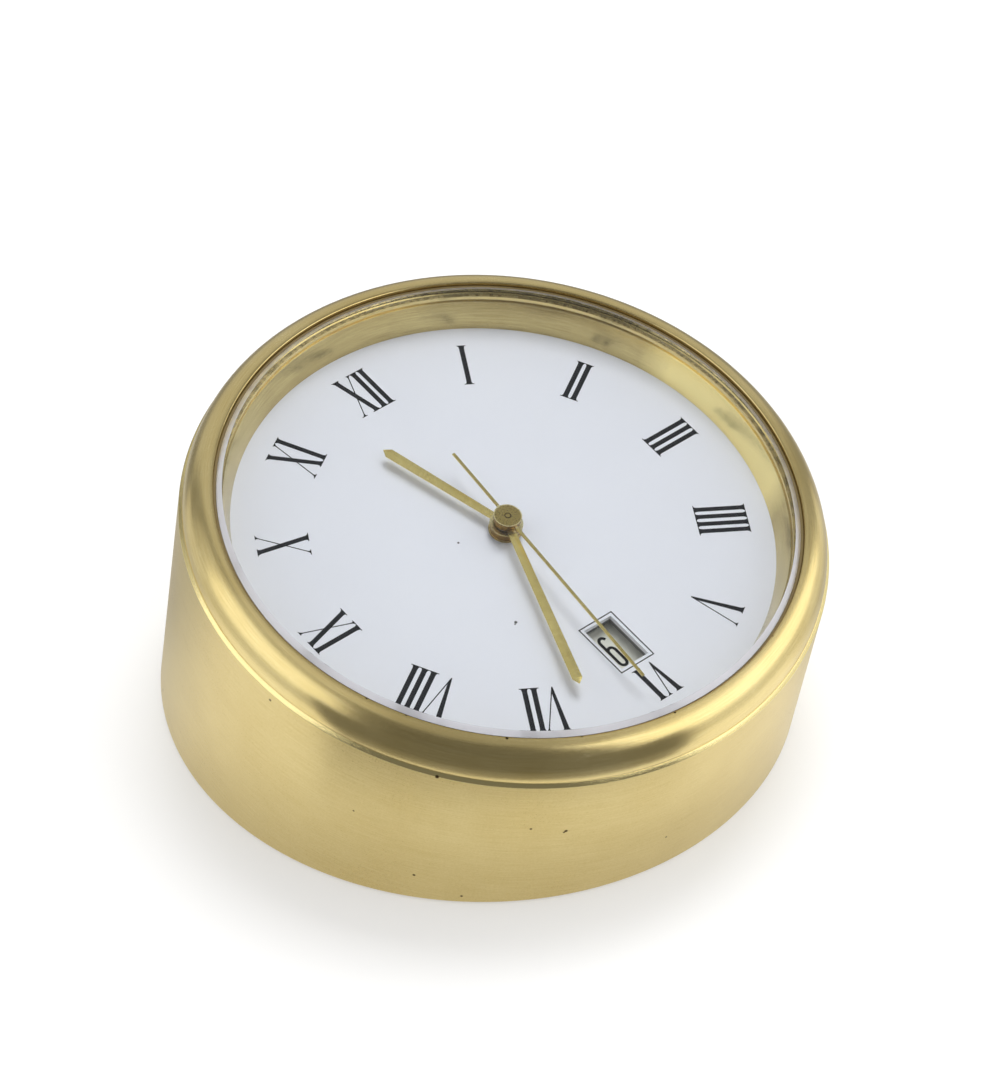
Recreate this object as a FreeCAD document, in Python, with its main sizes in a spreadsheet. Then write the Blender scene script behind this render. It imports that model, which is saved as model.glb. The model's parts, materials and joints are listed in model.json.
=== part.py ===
import FreeCAD, Part
import math
import os
import Sketcher
from FreeCAD import Placement, Rotation, Vector

# Desk clock with calendar: a brass cylinder cut off at a slant, so that its dial leans back
# towards the reader.  Every piece is drawn about the case axis, with z = 0 at the top of the
# crystal's seat in the bezel, +Y towards XII and +X towards III.  The case then stands on its
# slanted foot: the row frame's origin is the middle of that foot, and +Z is up.

doc = FreeCAD.newDocument("desk_clock")
sheet = doc.addObject("Spreadsheet::Sheet", "Sizes")


class Size:
    """A size that carries its number and the spreadsheet expression that gives it."""

    def __init__(self, number, text):
        self.number = float(number)
        self.text = text

    def __add__(self, other):
        other = as_size(other)
        return Size(self.number + other.number, "(%s + %s)" % (self.text, other.text))

    def __radd__(self, other):
        return as_size(other) + self

    def __sub__(self, other):
        other = as_size(other)
        return Size(self.number - other.number, "(%s - %s)" % (self.text, other.text))

    def __rsub__(self, other):
        return as_size(other) - self

    def __mul__(self, other):
        other = as_size(other)
        return Size(self.number * other.number, "(%s * %s)" % (self.text, other.text))

    def __rmul__(self, other):
        return as_size(other) * self

    def __truediv__(self, other):
        other = as_size(other)
        return Size(self.number / other.number, "(%s / %s)" % (self.text, other.text))

    def __rtruediv__(self, other):
        return as_size(other) / self

    def __neg__(self):
        return Size(-self.number, "(0 - %s)" % self.text)

    def __float__(self):
        return self.number


def as_size(value):
    """A plain number as a Size; a Size stays as it is."""
    if isinstance(value, Size):
        return value
    return Size(value, repr(float(value)))


def sine(angle):
    """Sine of a Size in degrees."""
    return Size(math.sin(math.radians(angle.number)), "sin(%s * 1 deg)" % angle.text)


def cosine(angle):
    """Cosine of a Size in degrees."""
    return Size(math.cos(math.radians(angle.number)), "cos(%s * 1 deg)" % angle.text)


row_number = 0


def size(alias, number):
    """Write one driving size into the sheet and return it."""
    global row_number
    row_number += 1
    sheet.set("A%d" % row_number, alias.replace("_", " "))
    sheet.set("B%d" % row_number, str(number))
    sheet.setAlias("B%d" % row_number, alias)
    return Size(number, "Sizes." + alias)


# Case: a turned brass tube on a slanted foot.
case_radius = size("case_radius", 45.0)
case_wall = size("case_wall", 4.7)
case_top_depth = size("case_top_depth", 4.8)
case_top_edge = size("case_top_edge", 0.45)
case_rim_edge = size("case_rim_edge", 0.25)
seat_wall = size("seat_wall", 3.7)
axis_height = size("axis_height", 38.05)
base_tilt = size("base_tilt", 10.8)
foot_inset = size("foot_inset", 1.3)
foot_width = size("foot_width", 2.2)
foot_thickness = size("foot_thickness", 1.0)
foot_proud = size("foot_proud", 0.3)
fit_gap = size("fit_gap", 0.05)
tube_spare = size("tube_spare", 15.0)
overcut = size("overcut", 1.0)

# Bezel, crystal and the ring between crystal and dial.
bezel_width = size("bezel_width", 4.34)
bezel_ledge_width = size("bezel_ledge_width", 1.3)
bezel_ledge_thickness = size("bezel_ledge_thickness", 0.8)
bezel_spigot_wall = size("bezel_spigot_wall", 1.1)
bezel_spigot_length = size("bezel_spigot_length", 1.4)
crystal_recess = size("crystal_recess", 0.12)
crystal_thickness = size("crystal_thickness", 2.8)
crystal_bevel = size("crystal_bevel", 0.35)
crystal_gap = size("crystal_gap", 0.03)
gasket_thickness = size("gasket_thickness", 0.4)
gasket_height = size("gasket_height", 2.3)
reflector_step = size("reflector_step", 0.21)
reflector_cone = size("reflector_cone", 1.32)

# Dial and its carrier.
dial_depth = size("dial_depth", 7.97)
dial_thickness = size("dial_thickness", 0.7)
dial_hole_gap = size("dial_hole_gap", 0.3)
carrier_thickness = size("carrier_thickness", 1.1)
carrier_hole_radius = size("carrier_hole_radius", 4.0)
window_width = size("window_width", 4.8)
window_height = size("window_height", 7.85)
window_radius = size("window_radius", 23.52)
window_step = size("window_step", 0.3)
cover_post_radius = size("cover_post_radius", 2.5)
cover_pilot_depth = size("cover_pilot_depth", 5.0)
lug_radius = size("lug_radius", 2.2)
lug_thickness = size("lug_thickness", 1.5)
lug_pilot_depth = size("lug_pilot_depth", 3.0)

# Calendar ring: 31 teeth, one for each day, with its guard and its jumper spring.
ring_gap = size("ring_gap", 0.5)
ring_thickness = size("ring_thickness", 0.6)
ring_outer_margin = size("ring_outer_margin", 1.355)
ring_inner_margin = size("ring_inner_margin", 0.295)
ring_tooth_height = size("ring_tooth_height", 1.3)
ring_teeth = size("ring_teeth", 31)
ring_seat_width = size("ring_seat_width", 2.3)
ring_side_gap = size("ring_side_gap", 0.3)
ring_wall = size("ring_wall", 1.5)
running_gap = size("running_gap", 0.05)
guard_thickness = size("guard_thickness", 0.2)
guard_lap = size("guard_lap", 1.2)
guard_post_inset = size("guard_post_inset", 2.0)
guard_post_radius = size("guard_post_radius", 1.2)
guard_post_shoulder = size("guard_post_shoulder", 1.7)
guard_pilot_depth = size("guard_pilot_depth", 2.5)
guard_screw_length = size("guard_screw_length", 2.0)
jumper_thickness = size("jumper_thickness", 0.4)
jumper_wall = size("jumper_wall", 0.65)
jumper_arm_width = size("jumper_arm_width", 0.6)
jumper_arm_inset = size("jumper_arm_inset", 0.8)
jumper_reach = size("jumper_reach", 0.6)
beak_half_root = size("beak_half_root", 1.3)
beak_half_tip = size("beak_half_tip", 0.25)
beak_half_back = size("beak_half_back", 1.1)
pocket_radius = size("pocket_radius", 1.6)
pocket_depth = size("pocket_depth", 0.7)

# Movement: plates, housing and their screws.
plate_rim = size("plate_rim", 0.4)
motion_work_depth = size("motion_work_depth", 3.1)
front_plate_thickness = size("front_plate_thickness", 2.0)
train_depth = size("train_depth", 5.3)
bridge_thickness = size("bridge_thickness", 1.0)
bridge_length = size("bridge_length", 49.0)
bridge_top = size("bridge_top", 10.9)
bridge_bottom = size("bridge_bottom", 18.0)
bridge_side_gap = size("bridge_side_gap", 0.6)
bridge_post_inset = size("bridge_post_inset", 2.5)
bridge_post_y = size("bridge_post_y", 8.6)
bridge_post_radius = size("bridge_post_radius", 2.0)
post_pilot_depth = size("post_pilot_depth", 4.0)
board_thickness = size("board_thickness", 0.8)
chip_radius = size("chip_radius", 3.2)
chip_height = size("chip_height", 0.9)
chip_x = size("chip_x", -8.0)
chip_y = size("chip_y", -6.0)
crystal_can_radius = size("crystal_can_radius", 1.0)
crystal_can_length = size("crystal_can_length", 6.0)
crystal_can_x = size("crystal_can_x", 1.0)
crystal_can_y = size("crystal_can_y", -11.0)
leads_length = size("leads_length", 1.4)
leads_width = size("leads_width", 0.8)
housing_wall = size("housing_wall", 1.2)
housing_room = size("housing_room", 2.93)
housing_post_inset = size("housing_post_inset", 4.0)
housing_post_radius = size("housing_post_radius", 1.8)
cover_thickness = size("cover_thickness", 1.5)
cover_gap = size("cover_gap", 0.2)
screw_radius = size("screw_radius", 0.8)
screw_head_radius = size("screw_head_radius", 1.5)
screw_head_height = size("screw_head_height", 0.8)
small_screw_radius = size("small_screw_radius", 0.6)
small_head_radius = size("small_head_radius", 1.1)
small_head_height = size("small_head_height", 0.45)
screw_gap = size("screw_gap", 0.05)
carrier_screw_length = size("carrier_screw_length", 4.0)
bridge_screw_length = size("bridge_screw_length", 5.5)
housing_screw_length = size("housing_screw_length", 4.2)
cover_screw_length = size("cover_screw_length", 5.5)

# Battery, size N, and its compartment.
battery_radius = size("battery_radius", 6.0)
battery_length = size("battery_length", 30.2)
battery_cap_radius = size("battery_cap_radius", 2.0)
battery_cap_length = size("battery_cap_length", 0.5)
battery_y = size("battery_y", 18.6)
battery_lift = size("battery_lift", 0.33)
battery_gap = size("battery_gap", 0.2)
contact_room = size("contact_room", 1.3)
contact_thickness = size("contact_thickness", 0.3)
contact_plate = size("contact_plate", 7.0)
contact_bump_radius = size("contact_bump_radius", 1.5)
contact_strip_width = size("contact_strip_width", 1.2)
contact_strip_end = size("contact_strip_end", 8.8)
strip_slot_length = size("strip_slot_length", 4.0)
strip_play = size("strip_play", 0.1)
door_thickness = size("door_thickness", 1.2)
door_ledge = size("door_ledge", 0.6)
door_gap = size("door_gap", 0.1)
thumb_cut_length = size("thumb_cut_length", 9.0)
thumb_cut_width = size("thumb_cut_width", 2.2)
thumb_cut_depth = size("thumb_cut_depth", 0.5)

# Hands; lengths from the centre, levels above the dial.
hour_hand_length = size("hour_hand_length", 20.7)
hour_hand_width = size("hour_hand_width", 1.6)
hour_hand_root = size("hour_hand_root", 1.25)
minute_hand_length = size("minute_hand_length", 29.0)
minute_hand_width = size("minute_hand_width", 1.45)
minute_hand_root = size("minute_hand_root", 1.2)
hand_point = size("hand_point", 0.9)
hand_thickness = size("hand_thickness", 0.3)
hand_edge = size("hand_edge", 0.14)
seconds_hand_length = size("seconds_hand_length", 31.7)
seconds_hand_tail = size("seconds_hand_tail", 13.1)
seconds_hand_width = size("seconds_hand_width", 0.42)
seconds_hand_thickness = size("seconds_hand_thickness", 0.18)
hour_boss_wall = size("hour_boss_wall", 0.6)
hour_boss_flange = size("hour_boss_flange", 0.15)
hour_boss_rim = size("hour_boss_rim", 0.2)
hand_root_lap = size("hand_root_lap", 0.3)
hour_boss_foot = size("hour_boss_foot", 0.4)
hour_hand_level = size("hour_hand_level", 1.6)
hand_gap = size("hand_gap", 0.25)
minute_boss_wall = size("minute_boss_wall", 0.7)
minute_boss_height = size("minute_boss_height", 0.7)
seconds_hand_gap = size("seconds_hand_gap", 0.2)
seconds_cap_radius = size("seconds_cap_radius", 2.0)
seconds_cap_thickness = size("seconds_cap_thickness", 0.42)
hour_angle = size("hour_angle", 344.4)
minute_angle = size("minute_angle", 200.5)
seconds_angle = size("seconds_angle", 185.0)

# Arbors and pivots.
seconds_arbor_radius = size("seconds_arbor_radius", 0.42)
cannon_wall = size("cannon_wall", 0.58)
cannon_tail = size("cannon_tail", 1.5)
hour_pipe_wall = size("hour_pipe_wall", 0.5)
hour_hub_wall = size("hour_hub_wall", 1.0)
centre_hub_wall = size("centre_hub_wall", 1.1)
centre_hub_height = size("centre_hub_height", 1.0)
arbor_radius = size("arbor_radius", 0.35)
pivot_depth = size("pivot_depth", 1.0)
pivot_end_gap = size("pivot_end_gap", 0.1)
stud_radius = size("stud_radius", 0.5)
stud_shoulder_radius = size("stud_shoulder_radius", 1.1)
minute_stud_height = size("minute_stud_height", 2.15)
knob_arbor_radius = size("knob_arbor_radius", 0.9)
arbor_gap = size("arbor_gap", 0.05)

# Levels of the wheels: above the front plate's floor, and behind the front plate.
cannon_level = size("cannon_level", 0.1)
cannon_face = size("cannon_face", 0.9)
minute_wheel_level = size("minute_wheel_level", 0.25)
hour_wheel_level = size("hour_wheel_level", 1.25)
calendar_level = size("calendar_level", 2.35)
finger_level = size("finger_level", 3.12)
finger_thickness = size("finger_thickness", 0.5)
finger_reach = size("finger_reach", 0.9)
finger_width = size("finger_width", 1.0)
centre_wheel_level = size("centre_wheel_level", 0.55)
intermediate_level = size("intermediate_level", 1.33)
intermediate_thickness = size("intermediate_thickness", 0.5)
magnet_level = size("magnet_level", 2.05)
magnet_height = size("magnet_height", 1.6)
magnet_radius = size("magnet_radius", 2.6)
rotor_pinion_height = size("rotor_pinion_height", 0.9)
third_wheel_level = size("third_wheel_level", 2.65)
seconds_wheel_level = size("seconds_wheel_level", 4.05)

# Wheels: teeth and modules.
rotor_teeth = size("rotor_teeth", 10)
intermediate_teeth = size("intermediate_teeth", 60)
rotor_module = size("rotor_module", 0.2)
second_pinion_teeth = size("second_pinion_teeth", 10)
seconds_teeth = size("seconds_teeth", 50)
seconds_module = size("seconds_module", 0.3)
seconds_pinion_teeth = size("seconds_pinion_teeth", 8)
third_teeth = size("third_teeth", 60)
third_module = size("third_module", 0.27)
third_pinion_teeth = size("third_pinion_teeth", 8)
centre_teeth = size("centre_teeth", 64)
cannon_teeth = size("cannon_teeth", 10)
minute_teeth = size("minute_teeth", 30)
minute_pinion_teeth = size("minute_pinion_teeth", 8)
hour_teeth = size("hour_teeth", 32)
motion_module = size("motion_module", 0.4)
calendar_pinion_teeth = size("calendar_pinion_teeth", 16)
calendar_teeth = size("calendar_teeth", 32)
calendar_inset = size("calendar_inset", 4.0)
setting_teeth = size("setting_teeth", 12)
wheel_thickness = size("wheel_thickness", 0.6)
pinion_margin = size("pinion_margin", 0.2)
addendum = size("addendum", 0.8)
dedendum = size("dedendum", 1.2)
tooth_share = size("tooth_share", 0.4)
minute_direction = size("minute_direction", 30.0)
calendar_direction = size("calendar_direction", 150.0)
motor_direction = size("motor_direction", 290.0)

# Stepper motor.
stator_thickness = size("stator_thickness", 0.8)
stator_hole_radius = size("stator_hole_radius", 3.0)
stator_half_length = size("stator_half_length", 11.8)
stator_half_width = size("stator_half_width", 4.0)
stator_arm_width = size("stator_arm_width", 3.0)
coil_distance = size("coil_distance", 8.0)
coil_half_length = size("coil_half_length", 8.2)
core_width = size("core_width", 2.6)
core_thickness = size("core_thickness", 0.8)
bobbin_radius = size("bobbin_radius", 1.6)
bobbin_flange_radius = size("bobbin_flange_radius", 1.95)
bobbin_flange = size("bobbin_flange", 0.6)
bobbin_bore = size("bobbin_bore", 1.4)
winding_radius = size("winding_radius", 1.9)
stator_post_x = size("stator_post_x", 10.3)
stator_post_radius = size("stator_post_radius", 1.2)
stator_drop = size("stator_drop", 2.43)
stator_pilot_depth = size("stator_pilot_depth", 1.5)
stator_screw_length = size("stator_screw_length", 2.6)

# Set knob.
knob_radius = size("knob_radius", 5.0)
knob_gap = size("knob_gap", 0.2)
knob_height = size("knob_height", 4.4)
knob_edge = size("knob_edge", 0.5)
knob_bore_depth = size("knob_bore_depth", 3.0)
flute_count = size("flute_count", 24)
flute_radius = size("flute_radius", 0.45)
doc.recompute()

# Levels along the case axis, from the crystal down.
crystal_foot = -(crystal_recess + crystal_thickness)
ledge_foot = crystal_foot - bezel_ledge_thickness
dial_top = -dial_depth
dial_foot = dial_top - dial_thickness
carrier_foot = dial_foot - carrier_thickness
ring_top = carrier_foot - ring_gap
ring_foot = ring_top - ring_thickness
guard_foot = ring_top + running_gap
motion_floor = ring_foot - motion_work_depth
plate_back = motion_floor - front_plate_thickness
bridge_face = plate_back - train_depth
bridge_foot = bridge_face - bridge_thickness
board_foot = bridge_foot - board_thickness
housing_inside = board_foot - housing_room
housing_foot = housing_inside - housing_wall
cover_foot = housing_foot + fit_gap
cover_post_foot = cover_foot + cover_thickness
battery_depth = battery_radius + battery_lift - plate_back

# Radii that follow from the case and from the date window.
seat_bore_radius = case_radius - seat_wall
case_bore_radius = case_radius - case_wall
foot_radius = case_radius - foot_inset
bezel_bore_radius = case_radius - bezel_width
bezel_ledge_radius = bezel_bore_radius - bezel_ledge_width
spigot_radius = seat_bore_radius - fit_gap
spigot_bore_radius = spigot_radius - bezel_spigot_wall
ring_outer_radius = window_radius + window_height / 2 + ring_outer_margin
ring_root_radius = window_radius - window_height / 2 - ring_inner_margin
ring_tip_radius = ring_root_radius - ring_tooth_height
guard_outer_radius = ring_tip_radius + guard_lap
guard_post_circle = ring_tip_radius - guard_post_inset
guard_inner_radius = guard_post_circle - pocket_radius
ring_seat_inner = ring_outer_radius - ring_seat_width
ring_wall_inner = ring_outer_radius + ring_side_gap
movement_radius = ring_wall_inner + ring_wall + plate_rim
cover_post_circle = (movement_radius + case_bore_radius) / 2
lug_circle = movement_radius + lug_radius + cover_gap
housing_post_circle = movement_radius - housing_post_inset
bridge_corner_radius = movement_radius - housing_wall - bridge_side_gap
bridge_post_x = bridge_length / 2 - bridge_post_inset
calendar_distance = ring_tip_radius - calendar_inset
finger_length = ring_tip_radius + finger_reach - calendar_distance

# Radii that follow from the arbor of the seconds hand, one round the other.
cannon_radius = seconds_arbor_radius + arbor_gap + cannon_wall
hour_pipe_radius = cannon_radius + arbor_gap + hour_pipe_wall
hour_hub_radius = hour_pipe_radius + hour_hub_wall
hour_boss_waist = hour_pipe_radius + hour_boss_wall
hour_boss_radius = hour_boss_waist + hour_boss_flange
minute_boss_radius = cannon_radius + minute_boss_wall
dial_hole_radius = hour_pipe_radius + dial_hole_gap


def bind(piece, **sizes):
    """Bind properties of a piece to the sheet."""
    for name, value in sizes.items():
        piece.setExpression(name, as_size(value).text)
    return piece


def put(piece, x=0.0, y=0.0, z=0.0, turn=0.0):
    """Place a piece in the case's own frame, turned about the case axis."""
    numbers = tuple(as_size(value).text for value in (x, y, z, turn))
    text = (
        "create(<<placement>>; create(<<vector>>; %s; %s; %s); "
        "create(<<rotation>>; create(<<vector>>; 0; 0; 1); %s))" % numbers
    )
    piece.setExpression("Placement", text)
    return piece


def cylinder(name, radius, height, x=0.0, y=0.0, z=0.0):
    """A round bar along the case axis."""
    piece = doc.addObject("Part::Cylinder", name)
    return put(bind(piece, Radius=radius, Height=height), x, y, z)


def hole(name, radius, foot, top, x=0.0, y=0.0):
    """A tool for a hole right through what lies between two levels."""
    return cylinder(name, radius, top - foot + overcut * 2, x, y, foot - overcut)


def hole_from_back(name, radius, foot, depth, x=0.0, y=0.0):
    """A tool for a blind hole that opens towards the back, at the level foot."""
    return cylinder(name, radius, depth + overcut, x, y, foot - overcut)


def hole_from_front(name, radius, top, depth, x=0.0, y=0.0):
    """A tool for a blind hole that opens towards the dial, at the level top."""
    return cylinder(name, radius, depth + overcut, x, y, top - depth)


def block(name, length, width, height, x, y, z):
    """A block whose footprint is centred on x and y, standing on z."""
    piece = doc.addObject("Part::Box", name)
    bind(piece, Length=length, Width=width, Height=height)
    return put(piece, x - as_size(length) / 2, y - as_size(width) / 2, z)


def fuse(name, pieces):
    """Join solids into one."""
    piece = doc.addObject("Part::MultiFuse", name)
    piece.Shapes = pieces
    return piece


def cut(name, base, tools):
    """Take the tools away from the base."""
    tool = tools[0] if len(tools) == 1 else fuse(name + "_tools", tools)
    piece = doc.addObject("Part::Cut", name)
    piece.Base = base
    piece.Tool = tool
    return piece


def group(name, pieces):
    """Like pieces kept as one group of separate solids."""
    piece = doc.addObject("Part::Compound", name)
    piece.Links = pieces
    return piece


def tube(name, outer, inner, height, x=0.0, y=0.0, z=0.0):
    """A plain tube or washer along the case axis."""
    foot = as_size(z)
    body = cylinder(name + "_outside", outer, height, x, y, foot)
    return cut(name, body, [hole(name + "_bore", inner, foot, foot + height, x, y)])


def sketch_on(body, plane, name):
    """A sketch attached to one of its own body's origin planes."""
    sketch = body.newObject("Sketcher::SketchObject", name)
    for feature in body.Origin.OriginFeatures:
        if feature.Role == plane:
            sketch.AttachmentSupport = [(feature, "")]
    sketch.MapMode = "FlatFace"
    return sketch


def draw_outline(sketch, points, open_end=False):
    """Draw straight sides from point to point; the outline is closed unless open_end."""
    first = sketch.GeometryCount
    spots = [Vector(float(a), float(b), 0) for a, b in points]
    sides = len(points) - 1 if open_end else len(points)
    for i in range(sides):
        sketch.addGeometry(Part.LineSegment(spots[i], spots[(i + 1) % len(points)]))
    for i in range(sides):
        after = (i + 1) % len(points)
        if after < sides:
            sketch.addConstraint(
                Sketcher.Constraint("Coincident", first + i, 2, first + after, 1)
            )
    for i, point in enumerate(points):
        side, end = (i, 1) if i < sides else (i - 1, 2)
        for kind, value in zip(("DistanceX", "DistanceY"), point):
            index = sketch.addConstraint(
                Sketcher.Constraint(kind, -1, 1, first + side, end, float(value))
            )
            sketch.setExpression("Constraints[%d]" % index, as_size(value).text)


def turned(name, points):
    """A body turned about the case axis from a half section of (radius, level) points."""
    body = doc.addObject("PartDesign::Body", name)
    sketch = sketch_on(body, "XZ_Plane", name + "_section")
    draw_outline(sketch, points)
    turn = body.newObject("PartDesign::Revolution", name + "_turning")
    turn.Profile = sketch
    turn.ReferenceAxis = (sketch, ["V_Axis"])
    turn.Angle = 360.0
    return body


def at_circle(radius, angle):
    """The place at an angle, in degrees from +X, on a circle about the case axis."""
    angle = as_size(angle)
    return radius * cosine(angle), radius * sine(angle)


parts = []


def keep(piece, label, x=0.0, y=0.0, z=0.0, turn=0.0):
    """Name a finished sub-part and stand it on the slanted foot with the rest of the clock."""
    piece.Label = label
    numbers = tuple(as_size(value).text for value in (x, y, z, turn))
    stand = (
        axis_height + foot_proud / cosine(base_tilt),
        base_tilt,
    )
    text = (
        "create(<<placement>>; create(<<vector>>; 0; %s; %s); "
        "create(<<rotation>>; create(<<vector>>; 1; 0; 0); %s))"
        % (
            (-(stand[0] * sine(base_tilt))).text,
            (stand[0] * cosine(base_tilt)).text,
            base_tilt.text,
        )
    )
    text += (
        " * create(<<placement>>; create(<<vector>>; %s; %s; %s); "
        "create(<<rotation>>; create(<<vector>>; 0; 0; 1); %s))" % numbers
    )
    piece.setExpression("Placement", text)
    parts.append(piece)
    return piece


def slanted_slab(name, depth, height, spread):
    """A block whose upper face is parallel to the foot, at a depth below the case's origin."""
    piece = doc.addObject("Part::Box", name)
    bind(piece, Length=spread, Width=spread, Height=height)
    half = as_size(spread) / 2
    text = (
        "create(<<placement>>; create(<<vector>>; 0; 0; %s); "
        "create(<<rotation>>; create(<<vector>>; 1; 0; 0); %s))"
        " * create(<<placement>>; create(<<vector>>; %s; %s; %s); "
        "create(<<rotation>>; create(<<vector>>; 0; 0; 1); 0))"
        % (
            (-depth).text,
            (-base_tilt).text,
            (-half).text,
            (-half).text,
            (-as_size(height)).text,
        )
    )
    piece.setExpression("Placement", text)
    return piece


def tooth_points(teeth, module, turn):
    """Outline of a wheel of involute teeth as (radius, angle), with play between the teeth."""
    pitch_radius = teeth * module / 2
    root = pitch_radius - float(dedendum) * module
    tip = pitch_radius + float(addendum) * module
    pressure = math.radians(20)
    base = pitch_radius * math.cos(pressure)
    half = math.pi * float(tooth_share) / teeth

    def half_angle(radius):
        if radius <= base:
            slope = 0.0
        else:
            slope = math.acos(base / radius)
        there = math.tan(slope) - slope
        here = math.tan(pressure) - pressure
        return half + here - there

    points = []
    for i in range(teeth):
        middle = turn + 2 * math.pi * i / teeth
        for radius in (root, pitch_radius, tip):
            points.append((radius, middle - half_angle(radius)))
        for radius in (tip, pitch_radius, root):
            points.append((radius, middle + half_angle(radius)))
    return points


def toothed_rim(name, teeth, module, height, z, turn, bore):
    """A toothed disc with a round bore, its first tooth at the angle turn in radians."""
    outline = [
        Vector(r * math.cos(a), r * math.sin(a), float(z))
        for r, a in tooth_points(int(float(teeth)), float(module), turn)
    ]
    outline.append(outline[0])
    face = Part.Face(Part.makePolygon(outline))
    solid = face.extrude(Vector(0, 0, float(height)))
    if bore is not None:
        spare = float(overcut)
        start = Vector(0, 0, float(z) - spare)
        solid = solid.cut(Part.makeCylinder(float(bore), float(height) + spare * 2, start))
    rim = doc.addObject("Part::Feature", name)
    rim.Shape = solid
    return rim


def meshed_turn(teeth, turn, direction, other_teeth):
    """The turn of a wheel whose gap takes the tooth of another wheel lying in this direction."""
    share = ((direction - turn) / (2 * math.pi / float(teeth))) % 1.0
    return direction + math.pi + (share + 0.5) * 2 * math.pi / float(other_teeth)


def wheel_distance(teeth, other_teeth, module):
    """Centre distance of two meshed wheels."""
    return (teeth + other_teeth) * module / 2


# The case: turned from brass tube, seated for the bezel and the dial, cut off at a slant.
case_turned = turned(
    "case_turned",
    [
        (seat_bore_radius, -case_top_depth),
        (case_radius - case_top_edge, -case_top_depth),
        (case_radius, -(case_top_depth + case_top_edge)),
        (case_radius, -(axis_height + tube_spare)),
        (case_bore_radius, -(axis_height + tube_spare)),
        (case_bore_radius, carrier_foot),
        (seat_bore_radius, carrier_foot),
    ],
)
slab_spread = case_radius * 4
offcut = slanted_slab("case_offcut", axis_height, case_radius, slab_spread)
case_slant = cut("case_slant", case_turned, [offcut])
foot_inner_radius = foot_radius - foot_width
foot_tube_level = -(axis_height + case_radius / 2)
foot_top = axis_height - (foot_thickness - foot_proud) / cosine(base_tilt)
groove_tube = tube(
    "groove_tube",
    foot_radius + fit_gap,
    foot_inner_radius - fit_gap,
    case_radius,
    z=foot_tube_level,
)
groove = doc.addObject("Part::Common", "groove")
groove.Base = groove_tube
groove.Tool = slanted_slab("groove_slab", foot_top, foot_thickness * 2, slab_spread)
case_grooved = cut("case_grooved", case_slant, [groove])
doc.recompute()
case_body = doc.addObject("Part::Chamfer", "case_edge")
case_body.Base = case_grooved
slant_rise = float(case_radius * sine(base_tilt))
slant_edges = []
for number, edge in enumerate(case_grooved.Shape.Edges, 1):
    box = edge.BoundBox
    if abs(box.XLength - 2 * float(case_radius)) < 0.01 and box.ZLength > slant_rise:
        slant_edges.append((number, float(case_rim_edge), float(case_rim_edge)))
case_body.Edges = slant_edges
keep(case_body, "case_body")

foot_tube = tube(
    "foot_tube", foot_radius, foot_inner_radius, case_radius, z=foot_tube_level
)
foot_ring = doc.addObject("Part::Common", "foot_slice")
foot_ring.Base = foot_tube
foot_ring.Tool = slanted_slab("foot_slab", foot_top, foot_thickness, slab_spread)
keep(foot_ring, "foot_ring")

# The bezel: a brass ring with a rounded back, a ledge for the crystal and a spigot.
bezel_back_radius = case_radius - case_top_edge
spigot_foot = -(case_top_depth + bezel_spigot_length)
bezel = doc.addObject("PartDesign::Body", "bezel_turned")
bezel_section = sketch_on(bezel, "XZ_Plane", "bezel_section")
bezel_points = [
    (bezel_back_radius, -case_top_depth),
    (spigot_radius, -case_top_depth),
    (spigot_radius, spigot_foot),
    (spigot_bore_radius, spigot_foot),
    (spigot_bore_radius, ledge_foot),
    (bezel_ledge_radius, ledge_foot),
    (bezel_ledge_radius, crystal_foot),
    (bezel_bore_radius, crystal_foot),
    (bezel_bore_radius, as_size(0.0)),
]
draw_outline(bezel_section, bezel_points, open_end=True)
rise = float(case_top_depth)
reach = float(bezel_back_radius - bezel_bore_radius)
middle = Vector(float(bezel_bore_radius), -rise, 0)
if rise > reach:
    oval = Part.Ellipse(middle + Vector(0, rise, 0), middle + Vector(-reach, 0, 0), middle)
    start_turn = math.pi * 1.5
    end_turn = math.pi * 2
else:
    oval = Part.Ellipse(middle + Vector(reach, 0, 0), middle + Vector(0, rise, 0), middle)
    start_turn = 0.0
    end_turn = math.pi / 2
bezel_back = bezel_section.addGeometry(Part.ArcOfEllipse(oval, start_turn, end_turn))
last = len(bezel_points) - 2
bezel_section.addConstraint(Sketcher.Constraint("Coincident", bezel_back, 1, 0, 1))
bezel_section.addConstraint(Sketcher.Constraint("Coincident", bezel_back, 2, last, 2))
bezel_turning = bezel.newObject("PartDesign::Revolution", "bezel_turning")
bezel_turning.Profile = bezel_section
bezel_turning.ReferenceAxis = (bezel_section, ["V_Axis"])
bezel_turning.Angle = 360.0
keep(bezel, "bezel_ring")

# The crystal: a flat glass disc with a ground bevel, in a thin gasket.
crystal_radius = bezel_bore_radius - gasket_thickness - crystal_gap * 2
crystal = turned(
    "crystal_ground",
    [
        (0.0, -crystal_recess),
        (crystal_radius - crystal_bevel, -crystal_recess),
        (crystal_radius, -(crystal_recess + crystal_bevel)),
        (crystal_radius, crystal_foot + crystal_bevel / 2),
        (crystal_radius - crystal_bevel / 2, crystal_foot),
        (0.0, crystal_foot),
    ],
)
keep(crystal, "crystal")
gasket_inner_radius = crystal_radius + crystal_gap
gasket = tube(
    "gasket_sleeve",
    gasket_inner_radius + gasket_thickness,
    gasket_inner_radius,
    gasket_height,
    z=crystal_foot,
)
keep(gasket, "crystal_gasket")

# The reflector ring: a thin coned ring between the bezel's ledge and the dial.
reflector_top_radius = bezel_ledge_radius - reflector_step
reflector_foot_radius = reflector_top_radius - reflector_cone
reflector_outer_radius = spigot_bore_radius - fit_gap
reflector = turned(
    "reflector_coned",
    [
        (reflector_top_radius, ledge_foot),
        (reflector_outer_radius, ledge_foot),
        (reflector_outer_radius, dial_top),
        (reflector_foot_radius, dial_top),
    ],
)
keep(reflector, "reflector_ring")

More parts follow.
